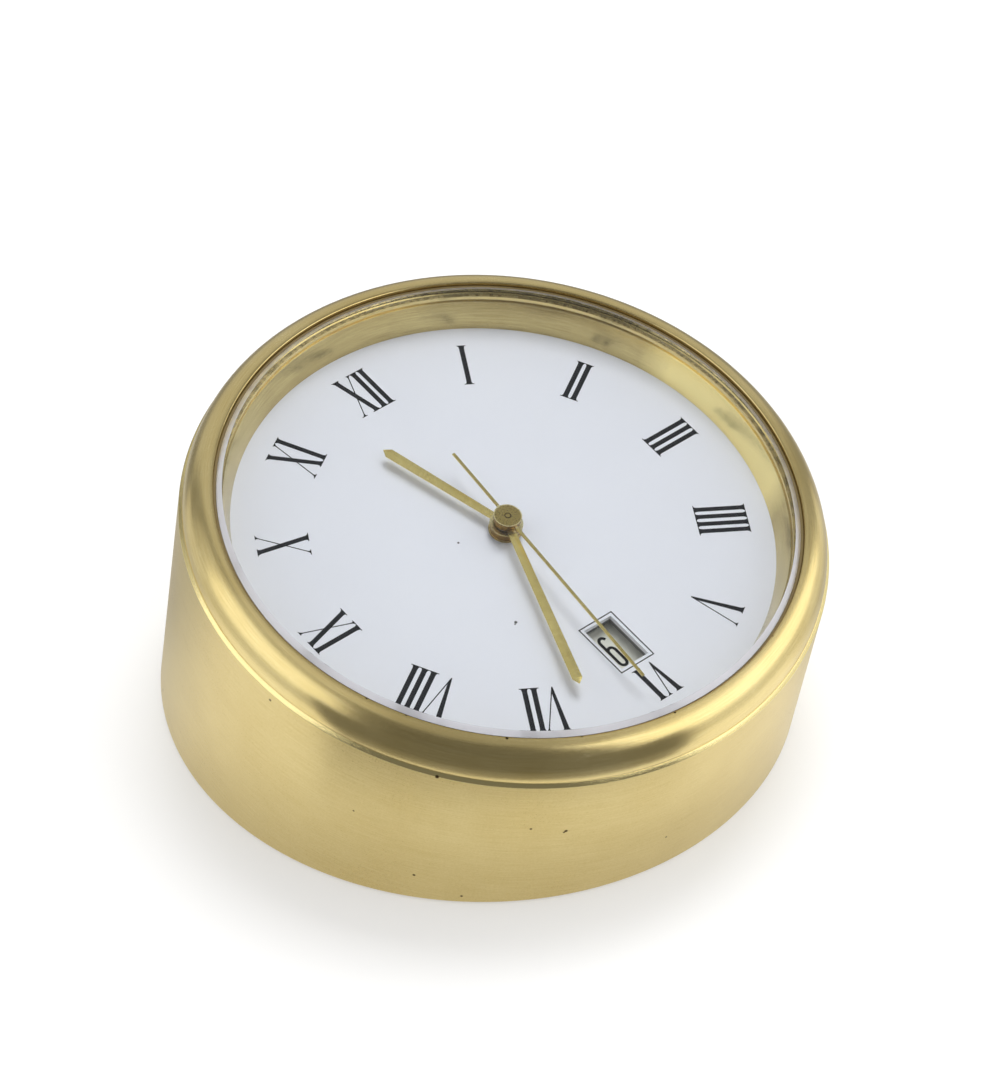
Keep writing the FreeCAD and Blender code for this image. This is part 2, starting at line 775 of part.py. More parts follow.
# The dial: a lacquered plate, pierced for the hands and for the date.
dial_radius = seat_bore_radius - fit_gap
dial = doc.addObject("PartDesign::Body", "dial_stamped")
dial_outline = sketch_on(dial, "XY_Plane", "dial_outline")
for radius in (dial_radius, dial_hole_radius):
    number = dial_outline.addGeometry(
        Part.Circle(Vector(0, 0, 0), Vector(0, 0, 1), float(radius))
    )
    dial_outline.addConstraint(Sketcher.Constraint("Coincident", number, 3, -1, 1))
    index = dial_outline.addConstraint(
        Sketcher.Constraint("Radius", number, float(radius))
    )
    dial_outline.setExpression("Constraints[%d]" % index, radius.text)
window_top = -(window_radius - window_height / 2)
window_bottom = -(window_radius + window_height / 2)
draw_outline(
    dial_outline,
    [
        (-window_width / 2, window_bottom),
        (window_width / 2, window_bottom),
        (window_width / 2, window_top),
        (-window_width / 2, window_top),
    ],
)
dial_pad = dial.newObject("PartDesign::Pad", "dial_pad")
dial_pad.Profile = dial_outline
dial_pad.setExpression("Length", dial_thickness.text)
keep(dial, "dial_plate", z=dial_foot)

# The dial carrier: a moulded disc behind the dial, with posts for the back cover and lugs.
screw_clearance = screw_radius + screw_gap
small_clearance = small_screw_radius + screw_gap
cover_angles = [90.0, 210.0, 330.0]
lug_angles = [30.0, 150.0, 270.0]
lug_foot = plate_back + lug_thickness
carrier_pieces = [cylinder("carrier_disc", dial_radius, carrier_thickness, z=carrier_foot)]
carrier_holes = [
    hole("carrier_hole", carrier_hole_radius, carrier_foot, dial_foot),
    block(
        "carrier_window",
        window_width + window_step * 2,
        window_height + window_step * 2,
        carrier_thickness + overcut * 2,
        0.0,
        -window_radius,
        carrier_foot - overcut,
    ),
]
for i, angle in enumerate(cover_angles):
    x, y = at_circle(cover_post_circle, angle)
    carrier_pieces.append(
        cylinder(
            "cover_post%d" % i,
            cover_post_radius,
            carrier_foot - cover_post_foot,
            x,
            y,
            cover_post_foot,
        )
    )
    carrier_holes.append(
        hole_from_back(
            "cover_pilot%d" % i, screw_clearance, cover_post_foot, cover_pilot_depth, x, y
        )
    )
    x, y = at_circle(guard_post_circle, angle)
    carrier_holes.append(
        hole_from_back("guard_pocket%d" % i, pocket_radius, carrier_foot, pocket_depth, x, y)
    )
for i, angle in enumerate(lug_angles):
    x, y = at_circle(lug_circle, angle)
    carrier_pieces.append(
        cylinder("boss%d" % i, lug_radius, carrier_foot - lug_foot, x, y, lug_foot)
    )
    carrier_holes.append(
        hole_from_back(
            "boss_pilot%d" % i, screw_clearance, lug_foot, lug_pilot_depth, x, y
        )
    )
carrier = cut("carrier", fuse("carrier_moulding", carrier_pieces), carrier_holes)
keep(carrier, "dial_carrier")


def ridged_arm(name, root, length, root_width, width, level, point):
    """A hand's arm along +Y with a flat foot and two sloping facets that meet in a ridge."""
    sections = []
    stations = (
        (float(root), float(root_width) / 2, 1.0),
        (float(length) - float(point), float(width) / 2, 1.0),
        (float(length), 0.06, 0.6),
    )
    for y, half, share in stations:
        foot = float(level)
        edge = foot + float(hand_edge) * share
        ridge = foot + float(hand_thickness) * share
        corners = [
            Vector(-half, y, foot),
            Vector(half, y, foot),
            Vector(half, y, edge),
            Vector(0, y, ridge),
            Vector(-half, y, edge),
        ]
        sections.append(Part.makePolygon(corners + corners[:1]))
    arm = doc.addObject("Part::Feature", name)
    arm.Shape = Part.makeLoft(sections, True, True)
    return put(arm)


# The hands: brass, each with a boss that is pressed on its own arbor.
hour_level = dial_top + hour_hand_level
hour_top = hour_level + hand_thickness
hour_foot = dial_top + hour_boss_foot
hour_boss = turned(
    "hour_boss",
    [
        (hour_pipe_radius, hour_foot),
        (hour_boss_radius, hour_foot),
        (hour_boss_radius, hour_foot + hour_boss_rim),
        (hour_boss_waist, hour_foot + hour_boss_rim),
        (hour_boss_waist, hour_top - hour_boss_rim),
        (hour_boss_radius, hour_top - hour_boss_rim),
        (hour_boss_radius, hour_top),
        (hour_pipe_radius, hour_top),
    ],
)
hour_arm = ridged_arm(
    "hour_arm",
    hour_boss_waist - hand_root_lap,
    hour_hand_length,
    hour_hand_root,
    hour_hand_width,
    hour_level,
    hand_point,
)
keep(fuse("hour_hand_fused", [hour_boss, hour_arm]), "hour_hand", turn=-hour_angle)

minute_level = hour_top + hand_gap
minute_top = minute_level + minute_boss_height
minute_boss = tube(
    "minute_boss", minute_boss_radius, cannon_radius, minute_boss_height, z=minute_level
)
minute_arm = ridged_arm(
    "minute_arm",
    minute_boss_radius - hand_root_lap,
    minute_hand_length,
    minute_hand_root,
    minute_hand_width,
    minute_level,
    hand_point,
)
keep(fuse("minute_hand_fused", [minute_boss, minute_arm]), "minute_hand", turn=-minute_angle)

seconds_level = minute_top + seconds_hand_gap
seconds_cap = cylinder(
    "seconds_cap", seconds_cap_radius, seconds_cap_thickness, z=seconds_level
)
seconds_arm = block(
    "seconds_arm",
    seconds_hand_width,
    seconds_hand_length + seconds_hand_tail,
    seconds_hand_thickness,
    0.0,
    (seconds_hand_length - seconds_hand_tail) / 2,
    seconds_level,
)
seconds_top = seconds_level + seconds_cap_thickness
seconds_bore = hole("seconds_bore", seconds_arbor_radius, seconds_level, seconds_top)
seconds_hand = cut(
    "seconds_hand_cut", fuse("seconds_hand_fused", [seconds_cap, seconds_arm]), [seconds_bore]
)
keep(seconds_hand, "seconds_hand", turn=-seconds_angle)


def ring_of_days(name):
    """The calendar ring, with a pointed tooth for each day round its inner edge."""
    teeth = int(float(ring_teeth))
    pitch = 2 * math.pi / teeth
    outline = []
    for i in range(teeth):
        tooth = -math.pi / 2 + i * pitch
        for radius, share in (
            (float(ring_root_radius), -0.4),
            (float(ring_tip_radius), -0.1),
            (float(ring_tip_radius), 0.1),
            (float(ring_root_radius), 0.4),
        ):
            angle = tooth + share * pitch
            outline.append(
                Vector(radius * math.cos(angle), radius * math.sin(angle), float(ring_foot))
            )
    outline.append(outline[0])
    thickness = float(ring_thickness)
    opening = Part.Face(Part.makePolygon(outline)).extrude(Vector(0, 0, thickness))
    start = Vector(0, 0, float(ring_foot))
    disc = Part.makeCylinder(float(ring_outer_radius), thickness, start)
    ring = doc.addObject("Part::Feature", name)
    ring.Shape = disc.cut(opening)
    return ring


keep(ring_of_days("ring_cut"), "date_ring")

# The guard that keeps the ring down, and its three screws.
guard_top = guard_foot + guard_thickness
guard_disc = tube(
    "guard_disc", guard_outer_radius, guard_inner_radius, guard_thickness, z=guard_foot
)
guard_holes = []
for i, angle in enumerate(cover_angles):
    x, y = at_circle(guard_post_circle, angle)
    guard_holes.append(hole("guard_hole%d" % i, small_clearance, guard_foot, guard_top, x, y))
keep(cut("guard", guard_disc, guard_holes), "date_ring_guard")


def screw(name, x, y, seat, length, small=False, from_front=False):
    """A cheese-head screw with a slot; its head bears on the seat."""
    radius = small_screw_radius if small else screw_radius
    head_radius = small_head_radius if small else screw_head_radius
    head_height = small_head_height if small else screw_head_height
    if from_front:
        shank_foot = seat - length
        head_foot = seat
        slot_foot = seat + head_height / 2
    else:
        shank_foot = seat
        head_foot = seat - head_height
        slot_foot = seat - head_height * 1.5
    head = cylinder(name + "_head", head_radius, head_height, x, y, head_foot)
    shank = cylinder(name + "_shank", radius, length, x, y, shank_foot)
    slot = block(
        name + "_slot", head_radius * 3, head_radius * 0.3, head_height, x, y, slot_foot
    )
    return cut(name, fuse(name + "_fused", [head, shank]), [slot])


def screws(label, spots, seat, length, small=False, from_front=False):
    """A group of like screws."""
    items = []
    for i, (x, y) in enumerate(spots):
        items.append(screw("%s%d" % (label, i), x, y, seat, length, small, from_front))
    return keep(group(label + "_group", items), label)


guard_spots = [at_circle(guard_post_circle, angle) for angle in cover_angles]
lug_spots = [at_circle(lug_circle, angle) for angle in lug_angles]
cover_spots = [at_circle(cover_post_circle, angle) for angle in cover_angles]
screws("guard_screws", guard_spots, guard_top, guard_screw_length, True, True)
screws("carrier_screws", lug_spots, plate_back, carrier_screw_length)

# The jumper: a flat spring on one guard post, its beak between two teeth of the ring.
jumper_level = ring_foot + (ring_thickness - jumper_thickness) / 2
shoulder_top = jumper_level
post_x, post_y = at_circle(guard_post_circle, cover_angles[2])
jumper_pitch = 360.0 / ring_teeth
jumper_angle = jumper_pitch * 3.5 + 270.0
jumper_arm_radius = ring_tip_radius - jumper_arm_inset
jumper_tip_radius = ring_tip_radius + jumper_reach


def jumper_spring(name):
    """An eye round the post, a thin arm and a beak that lies between two teeth."""
    level = float(jumper_level)
    height = Vector(0, 0, float(jumper_thickness))
    post = Vector(float(post_x), float(post_y), level)
    turn = math.radians(float(jumper_angle))
    outward = Vector(math.cos(turn), math.sin(turn), 0)
    along = Vector(-math.sin(turn), math.cos(turn), 0)
    root = outward * float(jumper_arm_radius) + Vector(0, 0, level)
    tip = outward * float(jumper_tip_radius) + Vector(0, 0, level)
    back = outward * (float(jumper_arm_radius) - float(jumper_arm_width))
    back = back + Vector(0, 0, level)
    beak = [
        root + along * float(beak_half_root),
        tip + along * float(beak_half_tip),
        tip - along * float(beak_half_tip),
        root - along * float(beak_half_root),
        back - along * float(beak_half_back),
        back + along * float(beak_half_back),
    ]
    arm_end = (root + back) * 0.5
    direction = (arm_end - post).normalize()
    side = Vector(-direction.y, direction.x, 0) * float(jumper_arm_width / 2)
    arm_start = post + direction * float(guard_post_radius + jumper_wall / 2)
    arm = [arm_start + side, arm_end + side, arm_end - side, arm_start - side]
    eye_radius = float(guard_post_radius + screw_gap)
    eye = Part.makeCylinder(eye_radius + float(jumper_wall), height.z, post)
    shape = eye
    for corners in (beak, arm):
        face = Part.Face(Part.makePolygon(corners + corners[:1]))
        shape = shape.fuse(face.extrude(height))
    shape = shape.cut(Part.makeCylinder(eye_radius, height.z, post))
    spring = doc.addObject("Part::Feature", name)
    spring.Shape = shape.removeSplitter()
    return spring


keep(jumper_spring("jumper_stamped"), "date_jumper")

# Where the arbors stand.
minute_reach = wheel_distance(cannon_teeth, minute_teeth, motion_module)
minute_x, minute_y = at_circle(minute_reach, minute_direction)
setting_reach = wheel_distance(minute_teeth, setting_teeth, motion_module)
setting_x = minute_x + setting_reach
setting_y = minute_y
calendar_x, calendar_y = at_circle(calendar_distance, calendar_direction)
calendar_module = calendar_distance * 2 / (calendar_pinion_teeth + calendar_teeth)
third_reach = wheel_distance(third_teeth, seconds_pinion_teeth, third_module)
centre_module = third_reach * 2 / (centre_teeth + third_pinion_teeth)
third_x = -third_reach
third_y = as_size(0.0)
second_reach = wheel_distance(seconds_teeth, second_pinion_teeth, seconds_module)
second_x, second_y = at_circle(second_reach, motor_direction)
rotor_reach = second_reach + wheel_distance(intermediate_teeth, rotor_teeth, rotor_module)
rotor_x, rotor_y = at_circle(rotor_reach, motor_direction)
train_spots = [(third_x, third_y), (second_x, second_y), (rotor_x, rotor_y)]

# The front plate: moulded, with the studs and posts of the motion work and of the train.
plate_pieces = [
    cylinder("plate_disc", movement_radius, front_plate_thickness, z=plate_back),
    tube(
        "plate_seat",
        ring_wall_inner + ring_wall / 2,
        ring_seat_inner,
        ring_foot - running_gap - plate_back,
        z=plate_back,
    ),
    tube(
        "plate_wall",
        ring_wall_inner + ring_wall,
        ring_wall_inner,
        carrier_foot - plate_back,
        z=plate_back,
    ),
]
plate_holes = [
    hole("cannon_hole", cannon_radius + arbor_gap, plate_back, motion_floor),
    hole(
        "knob_hole",
        knob_arbor_radius + arbor_gap,
        plate_back,
        motion_floor,
        setting_x,
        setting_y,
    ),
]
for i, angle in enumerate(cover_angles):
    x, y = at_circle(guard_post_circle, angle)
    plate_pieces.append(
        cylinder(
            "guard_foot%d" % i,
            guard_post_shoulder,
            shoulder_top - plate_back,
            x,
            y,
            plate_back,
        )
    )
    plate_pieces.append(
        cylinder(
            "guard_post%d" % i, guard_post_radius, guard_foot - plate_back, x, y, plate_back
        )
    )
    plate_holes.append(
        hole_from_front(
            "guard_pilot%d" % i, small_clearance, guard_foot, guard_pilot_depth, x, y
        )
    )
for i, (angle, spot) in enumerate(zip(lug_angles, lug_spots)):
    arm = doc.addObject("Part::Box", "lug_arm%d" % i)
    bind(arm, Length=lug_circle, Width=lug_radius * 2, Height=lug_thickness)
    text = (
        "create(<<placement>>; create(<<vector>>; 0; 0; %s); "
        "create(<<rotation>>; create(<<vector>>; 0; 0; 1); %s))"
        " * create(<<placement>>; create(<<vector>>; 0; %s; 0); "
        "create(<<rotation>>; create(<<vector>>; 0; 0; 1); 0))"
        % (plate_back.text, repr(angle), (-lug_radius).text)
    )
    arm.setExpression("Placement", text)
    arm_inside = hole(
        "lug_inside%d" % i, movement_radius - overcut, plate_back, plate_back + lug_thickness
    )
    plate_pieces.append(cut("lug_bar%d" % i, arm, [arm_inside]))
    plate_pieces.append(
        cylinder("lug%d" % i, lug_radius, lug_thickness, spot[0], spot[1], plate_back)
    )
    plate_holes.append(
        hole(
            "lug_hole%d" % i,
            screw_clearance,
            plate_back,
            plate_back + lug_thickness,
            spot[0],
            spot[1],
        )
    )
studs = (
    ("minute", minute_x, minute_y, minute_wheel_level, minute_stud_height),
    ("calendar", calendar_x, calendar_y, calendar_level, finger_level + finger_thickness),
)
for name, x, y, level, height in studs:
    shoulder = level - running_gap
    plate_pieces.append(
        cylinder(
            name + "_shoulder",
            stud_shoulder_radius,
            shoulder + front_plate_thickness,
            x,
            y,
            plate_back,
        )
    )
    plate_pieces.append(
        cylinder(name + "_stud", stud_radius, height + front_plate_thickness, x, y, plate_back)
    )
bridge_spots = []
for side in (1.0, -1.0):
    for level in (1.0, -1.0):
        bridge_spots.append((bridge_post_x * side, bridge_post_y * level))
for i, (x, y) in enumerate(bridge_spots):
    plate_pieces.append(
        cylinder("bridge_post%d" % i, bridge_post_radius, train_depth, x, y, bridge_face)
    )
    plate_holes.append(
        hole_from_back(
            "bridge_pilot%d" % i, screw_clearance, bridge_face, post_pilot_depth, x, y
        )
    )
housing_spots = [at_circle(housing_post_circle, a) for a in (185.0, 235.0, 355.0)]
for i, (x, y) in enumerate(housing_spots):
    plate_pieces.append(
        cylinder(
            "housing_post%d" % i,
            housing_post_radius,
            plate_back - housing_inside,
            x,
            y,
            housing_inside,
        )
    )
    plate_holes.append(
        hole_from_back(
            "housing_pilot%d" % i, screw_clearance, housing_inside, post_pilot_depth, x, y
        )
    )
stator_top = plate_back - stator_drop
core_top = stator_top + core_thickness
stator_foot = stator_top - stator_thickness
coil_level = (core_top + stator_top) / 2


def motor_spot(along, across):
    """A place in the motor's own axes: along the coil, and outward from the rotor."""
    turn = motor_direction + 90.0
    x = rotor_x + cosine(turn) * along + cosine(motor_direction) * across
    y = rotor_y + sine(turn) * along + sine(motor_direction) * across
    return x, y


stator_spots = [motor_spot(stator_post_x * side, coil_distance) for side in (1.0, -1.0)]
for i, (x, y) in enumerate(stator_spots):
    plate_pieces.append(
        cylinder(
            "stator_post%d" % i, stator_post_radius, plate_back - core_top, x, y, core_top
        )
    )
    plate_holes.append(
        hole_from_back(
            "stator_pilot%d" % i, small_clearance, core_top, stator_pilot_depth, x, y
        )
    )
for i, (x, y) in enumerate(train_spots):
    plate_holes.append(
        hole_from_back(
            "plate_pivot%d" % i, arbor_radius + arbor_gap, plate_back, pivot_depth, x, y
        )
    )
front_plate = cut("front_plate_cut", fuse("front_plate_fused", plate_pieces), plate_holes)
keep(front_plate, "front_plate")


def arbor(name, x, y):
    """A plain steel arbor between the front plate and the bridge."""
    top = plate_back + pivot_depth - pivot_end_gap
    foot = bridge_foot + pivot_end_gap
    return cylinder(name, arbor_radius, top - foot, x, y, foot)


# Motion work: cannon pinion, minute wheel, hour wheel and calendar wheel.
cannon_foot = motion_floor + cannon_level
cannon_tail_foot = plate_back - cannon_tail
cannon_bore = seconds_arbor_radius + arbor_gap
cannon_rim = toothed_rim(
    "cannon_rim", cannon_teeth, motion_module, cannon_face, cannon_foot, 0.0, cannon_bore
)
cannon_tube = tube(
    "cannon_tube",
    cannon_radius,
    cannon_bore,
    minute_top - cannon_tail_foot,
    z=cannon_tail_foot,
)
keep(fuse("cannon_fused", [put(cannon_rim), cannon_tube]), "cannon_pinion")

minute_turn = meshed_turn(
    cannon_teeth, 0.0, math.radians(float(minute_direction)), minute_teeth
)
minute_foot = motion_floor + minute_wheel_level
minute_rim = toothed_rim(
    "minute_rim",
    minute_teeth,
    motion_module,
    wheel_thickness,
    minute_foot,
    minute_turn,
    stud_radius + arbor_gap,
)
hour_wheel_foot = motion_floor + hour_wheel_level
minute_pinion_top = hour_wheel_foot + wheel_thickness + pinion_margin
minute_pinion = toothed_rim(
    "minute_pinion",
    minute_pinion_teeth,
    motion_module,
    minute_pinion_top - minute_foot,
    minute_foot,
    minute_turn,
    stud_radius + arbor_gap,
)
minute_wheel = fuse(
    "minute_wheel_fused",
    [put(minute_rim, minute_x, minute_y), put(minute_pinion, minute_x, minute_y)],
)
keep(minute_wheel, "minute_wheel")

back_direction = math.radians(float(minute_direction)) + math.pi
hour_turn = meshed_turn(minute_pinion_teeth, minute_turn, back_direction, hour_teeth)
hour_bore = cannon_radius + arbor_gap
calendar_foot = motion_floor + calendar_level
hour_rim = toothed_rim(
    "hour_rim",
    hour_teeth,
    motion_module,
    wheel_thickness,
    hour_wheel_foot,
    hour_turn,
    hour_bore,
)
calendar_pinion = toothed_rim(
    "calendar_pinion",
    calendar_pinion_teeth,
    calendar_module,
    wheel_thickness,
    calendar_foot,
    hour_turn,
    hour_bore,
)
hour_hub = tube(
    "hour_hub",
    hour_hub_radius,
    hour_bore,
    calendar_foot - hour_wheel_foot,
    z=hour_wheel_foot,
)
hour_pipe = tube(
    "hour_pipe", hour_pipe_radius, hour_bore, hour_top - hour_wheel_foot, z=hour_wheel_foot
)
hour_wheel = fuse(
    "hour_wheel_fused", [put(hour_rim), put(calendar_pinion), hour_hub, hour_pipe]
)
keep(hour_wheel, "hour_wheel")

calendar_turn = meshed_turn(
    calendar_pinion_teeth,
    hour_turn,
    math.radians(float(calendar_direction)),
    calendar_teeth,
)
calendar_rim = toothed_rim(
    "calendar_rim",
    calendar_teeth,
    calendar_module,
    wheel_thickness,
    calendar_foot,
    calendar_turn,
    None,
)
finger_foot = motion_floor + finger_level
calendar_hub = cylinder(
    "calendar_hub",
    stud_shoulder_radius,
    finger_foot + finger_thickness - calendar_foot,
    calendar_x,
    calendar_y,
    calendar_foot,
)
finger = doc.addObject("Part::Box", "finger")
bind(finger, Length=finger_length, Width=finger_width, Height=finger_thickness)
finger.setExpression(
    "Placement",
    "create(<<placement>>; create(<<vector>>; %s; %s; %s); "
    "create(<<rotation>>; create(<<vector>>; 0; 0; 1); %s))"
    " * create(<<placement>>; create(<<vector>>; 0; %s; 0); "
    "create(<<rotation>>; create(<<vector>>; 0; 0; 1); 0))"
    % (
        calendar_x.text,
        calendar_y.text,
        finger_foot.text,
        (calendar_direction + 180.0).text,
        (-finger_width / 2).text,
    ),
)
calendar_bore = hole(
    "calendar_bore",
    stud_radius + arbor_gap,
    calendar_foot,
    finger_foot + finger_thickness,
    calendar_x,
    calendar_y,
)
calendar_fused = fuse(
    "calendar_fused", [put(calendar_rim, calendar_x, calendar_y), calendar_hub, finger]
)
keep(cut("calendar_wheel_cut", calendar_fused, [calendar_bore]), "date_wheel")

# The going train, from the rotor to the centre wheel.
centre_foot = plate_back - centre_wheel_level - wheel_thickness
centre_rim = toothed_rim(
    "centre_rim", centre_teeth, centre_module, wheel_thickness, centre_foot, 0.0, hour_bore
)
centre_hub = tube(
    "centre_hub", hour_bore + centre_hub_wall, hour_bore, centre_hub_height, z=centre_foot
)
keep(fuse("centre_wheel_fused", [put(centre_rim), centre_hub]), "centre_wheel")

third_foot = plate_back - third_wheel_level - wheel_thickness
third_turn = meshed_turn(centre_teeth, 0.0, math.pi, third_pinion_teeth)
third_pinion = toothed_rim(
    "third_pinion",
    third_pinion_teeth,
    centre_module,
    wheel_thickness + pinion_margin * 2,
    centre_foot - pinion_margin,
    third_turn,
    None,
)
third_rim = toothed_rim(
    "third_rim", third_teeth, third_module, wheel_thickness, third_foot, 0.0, None
)
third_wheel = fuse(
    "third_wheel_fused",
    [
        put(third_pinion, third_x, third_y),
        put(third_rim, third_x, third_y),
        arbor("third_arbor", third_x, third_y),
    ],
)
keep(third_wheel, "third_wheel")

seconds_turn = meshed_turn(third_teeth, 0.0, 0.0, seconds_pinion_teeth)
seconds_pinion = toothed_rim(
    "seconds_pinion",
    seconds_pinion_teeth,
    third_module,
    wheel_thickness + pinion_margin * 2,
    third_foot - pinion_margin,
    seconds_turn,
    None,
)
seconds_foot = plate_back - seconds_wheel_level - wheel_thickness
seconds_rim = toothed_rim(
    "seconds_rim", seconds_teeth, seconds_module, wheel_thickness, seconds_foot, 0.0, None
)
seconds_arbor_foot = bridge_foot + pivot_end_gap
seconds_arbor = cylinder(
    "seconds_arbor",
    seconds_arbor_radius,
    seconds_top - seconds_arbor_foot,
    z=seconds_arbor_foot,
)
seconds_wheel = fuse(
    "seconds_wheel_fused", [put(seconds_pinion), put(seconds_rim), seconds_arbor]
)
keep(seconds_wheel, "seconds_wheel")

motor_turn = math.radians(float(motor_direction))
second_turn = meshed_turn(seconds_teeth, 0.0, motor_turn, second_pinion_teeth)
second_pinion = toothed_rim(
    "second_pinion",
    second_pinion_teeth,
    seconds_module,
    wheel_thickness + pinion_margin * 2,
    seconds_foot - pinion_margin,
    second_turn,
    None,
)
intermediate_foot = plate_back - intermediate_level - intermediate_thickness
intermediate_rim = toothed_rim(
    "intermediate_rim",
    intermediate_teeth,
    rotor_module,
    intermediate_thickness,
    intermediate_foot,
    0.0,
    None,
)
intermediate = fuse(
    "intermediate_fused",
    [
        put(second_pinion, second_x, second_y),
        put(intermediate_rim, second_x, second_y),
        arbor("intermediate_arbor", second_x, second_y),
    ],
)
keep(intermediate, "intermediate_wheel")

rotor_turn = meshed_turn(intermediate_teeth, 0.0, motor_turn, rotor_teeth)
magnet_foot = plate_back - magnet_level - magnet_height
rotor_pinion = toothed_rim(
    "rotor_pinion",
    rotor_teeth,
    rotor_module,
    rotor_pinion_height,
    magnet_foot + magnet_height,
    rotor_turn,
    None,
)
magnet = cylinder("magnet", magnet_radius, magnet_height, rotor_x, rotor_y, magnet_foot)
rotor = fuse(
    "rotor_fused",
    [put(rotor_pinion, rotor_x, rotor_y), magnet, arbor("rotor_arbor", rotor_x, rotor_y)],
)
keep(rotor, "rotor")


def motor_block(name, along, across, length, width, height, z):
    """A block lying in the motor's own axes, centred on its place."""
    piece = doc.addObject("Part::Box", name)
    bind(piece, Length=length, Width=width, Height=height)
    x, y = motor_spot(as_size(along), as_size(across))
    text = (
        "create(<<placement>>; create(<<vector>>; %s; %s; %s); "
        "create(<<rotation>>; create(<<vector>>; 0; 0; 1); %s))"
        " * create(<<placement>>; create(<<vector>>; %s; %s; 0); "
        "create(<<rotation>>; create(<<vector>>; 0; 0; 1); 0))"
        % (
            x.text,
            y.text,
            as_size(z).text,
            (motor_direction + 90.0).text,
            (-as_size(length) / 2).text,
            (-as_size(width) / 2).text,
        )
    )
    piece.setExpression("Placement", text)
    return piece


def motor_rod(name, radius, length, start):
    """A round bar along the coil, from a distance measured along it."""
    piece = doc.addObject("Part::Cylinder", name)
    bind(piece, Radius=radius, Height=length)
    x, y = motor_spot(as_size(start), coil_distance)
    text = (
        "create(<<placement>>; create(<<vector>>; %s; %s; %s); "
        "create(<<rotation>>; create(<<vector>>; 0; 0; 1); %s))"
        " * create(<<placement>>; create(<<vector>>; 0; 0; 0); "
        "create(<<rotation>>; create(<<vector>>; 0; 1; 0); 90))"
        % (x.text, y.text, coil_level.text, (motor_direction + 90.0).text)
    )
    piece.setExpression("Placement", text)
    return piece


# The stepper motor: stator plate, core, bobbin and winding.
arm_start = stator_half_width * 0.5
arm_end = coil_distance + core_width / 2
arm_x = stator_half_length - stator_arm_width / 2
stator_pieces = [
    motor_block(
        "stator_bar",
        0.0,
        0.0,
        stator_half_length * 2,
        stator_half_width * 2,
        stator_thickness,
        stator_foot,
    )
]
for i, side in enumerate((1.0, -1.0)):
    stator_pieces.append(
        motor_block(
            "stator_arm%d" % i,
            arm_x * side,
            (arm_start + arm_end) / 2,
            stator_arm_width,
            arm_end - arm_start,
            stator_thickness,
            stator_foot,
        )
    )
stator_tools = [
    hole("stator_bore", stator_hole_radius, stator_foot, stator_top, rotor_x, rotor_y)
]
core_tools = []
for i, (x, y) in enumerate(stator_spots):
    stator_tools.append(
        hole("stator_hole%d" % i, small_clearance, stator_foot, stator_top, x, y)
    )
    core_tools.append(hole("core_hole%d" % i, small_clearance, stator_top, core_top, x, y))
keep(cut("stator_cut", fuse("stator_fused", stator_pieces), stator_tools), "stator_plate")
core_bar = motor_block(
    "core_bar",
    0.0,
    coil_distance,
    stator_half_length * 2,
    core_width,
    core_thickness,
    stator_top,
)
keep(cut("core_cut", core_bar, core_tools), "coil_core")
bobbin_pieces = [
    motor_rod("bobbin_barrel", bobbin_radius, coil_half_length * 2, -coil_half_length)
]
for i, start in enumerate((-coil_half_length, coil_half_length - bobbin_flange)):
    bobbin_pieces.append(
        motor_rod("bobbin_flange%d" % i, bobbin_flange_radius, bobbin_flange, start)
    )
bobbin_tool = motor_rod(
    "bobbin_hole",
    bobbin_bore,
    (coil_half_length + overcut) * 2,
    -coil_half_length - overcut,
)
bobbin = cut("bobbin_cut", fuse("bobbin_fused", bobbin_pieces), [bobbin_tool])
keep(bobbin, "coil_bobbin")
winding_start = bobbin_flange - coil_half_length
winding_length = (coil_half_length - bobbin_flange) * 2
winding_tool = motor_rod(
    "winding_inside", bobbin_radius, winding_length + overcut * 2, winding_start - overcut
)
winding = cut(
    "winding_cut",
    motor_rod("winding_outside", winding_radius, winding_length, winding_start),
    [winding_tool],
)
keep(winding, "coil_winding")
screws("stator_screws", stator_spots, stator_foot, stator_screw_length, True)

# The bridge over the train and the circuit board on its back.
bridge_width = bridge_top + bridge_bottom
bridge_y = (bridge_top - bridge_bottom) / 2


def bridge_sheet(name, thickness, foot, holes):
    """A sheet with the outline of the bridge, rounded where the housing is round."""
    plate = block(name + "_blank", bridge_length, bridge_width, thickness, 0.0, bridge_y, foot)
    disc = cylinder(name + "_disc", bridge_corner_radius, thickness, z=foot)
    outline = doc.addObject("Part::Common", name + "_outline")
    outline.Base = plate
    outline.Tool = disc
    tools = []
    for i, (x, y, radius) in enumerate(holes):
        tools.append(hole("%s_hole%d" % (name, i), radius, foot, foot + thickness, x, y))
    return cut(name, outline, tools)


sheet_holes = [(x, y, screw_clearance) for x, y in bridge_spots]
sheet_holes.append((setting_x, setting_y, knob_arbor_radius + arbor_gap * 3))
pivot_holes = [(x, y, arbor_radius + arbor_gap) for x, y in train_spots]
pivot_holes.append((as_size(0.0), as_size(0.0), seconds_arbor_radius + arbor_gap))
bridge = bridge_sheet(
    "train_plate", bridge_thickness, bridge_foot, sheet_holes + pivot_holes
)
keep(bridge, "train_bridge")
board = bridge_sheet("board", board_thickness, board_foot, sheet_holes)
keep(board, "circuit_board")
screws("bridge_screws", bridge_spots, board_foot, bridge_screw_length)
chip = cylinder("chip", chip_radius, chip_height)
keep(chip, "timer_chip", chip_x, chip_y, board_foot - chip_height)


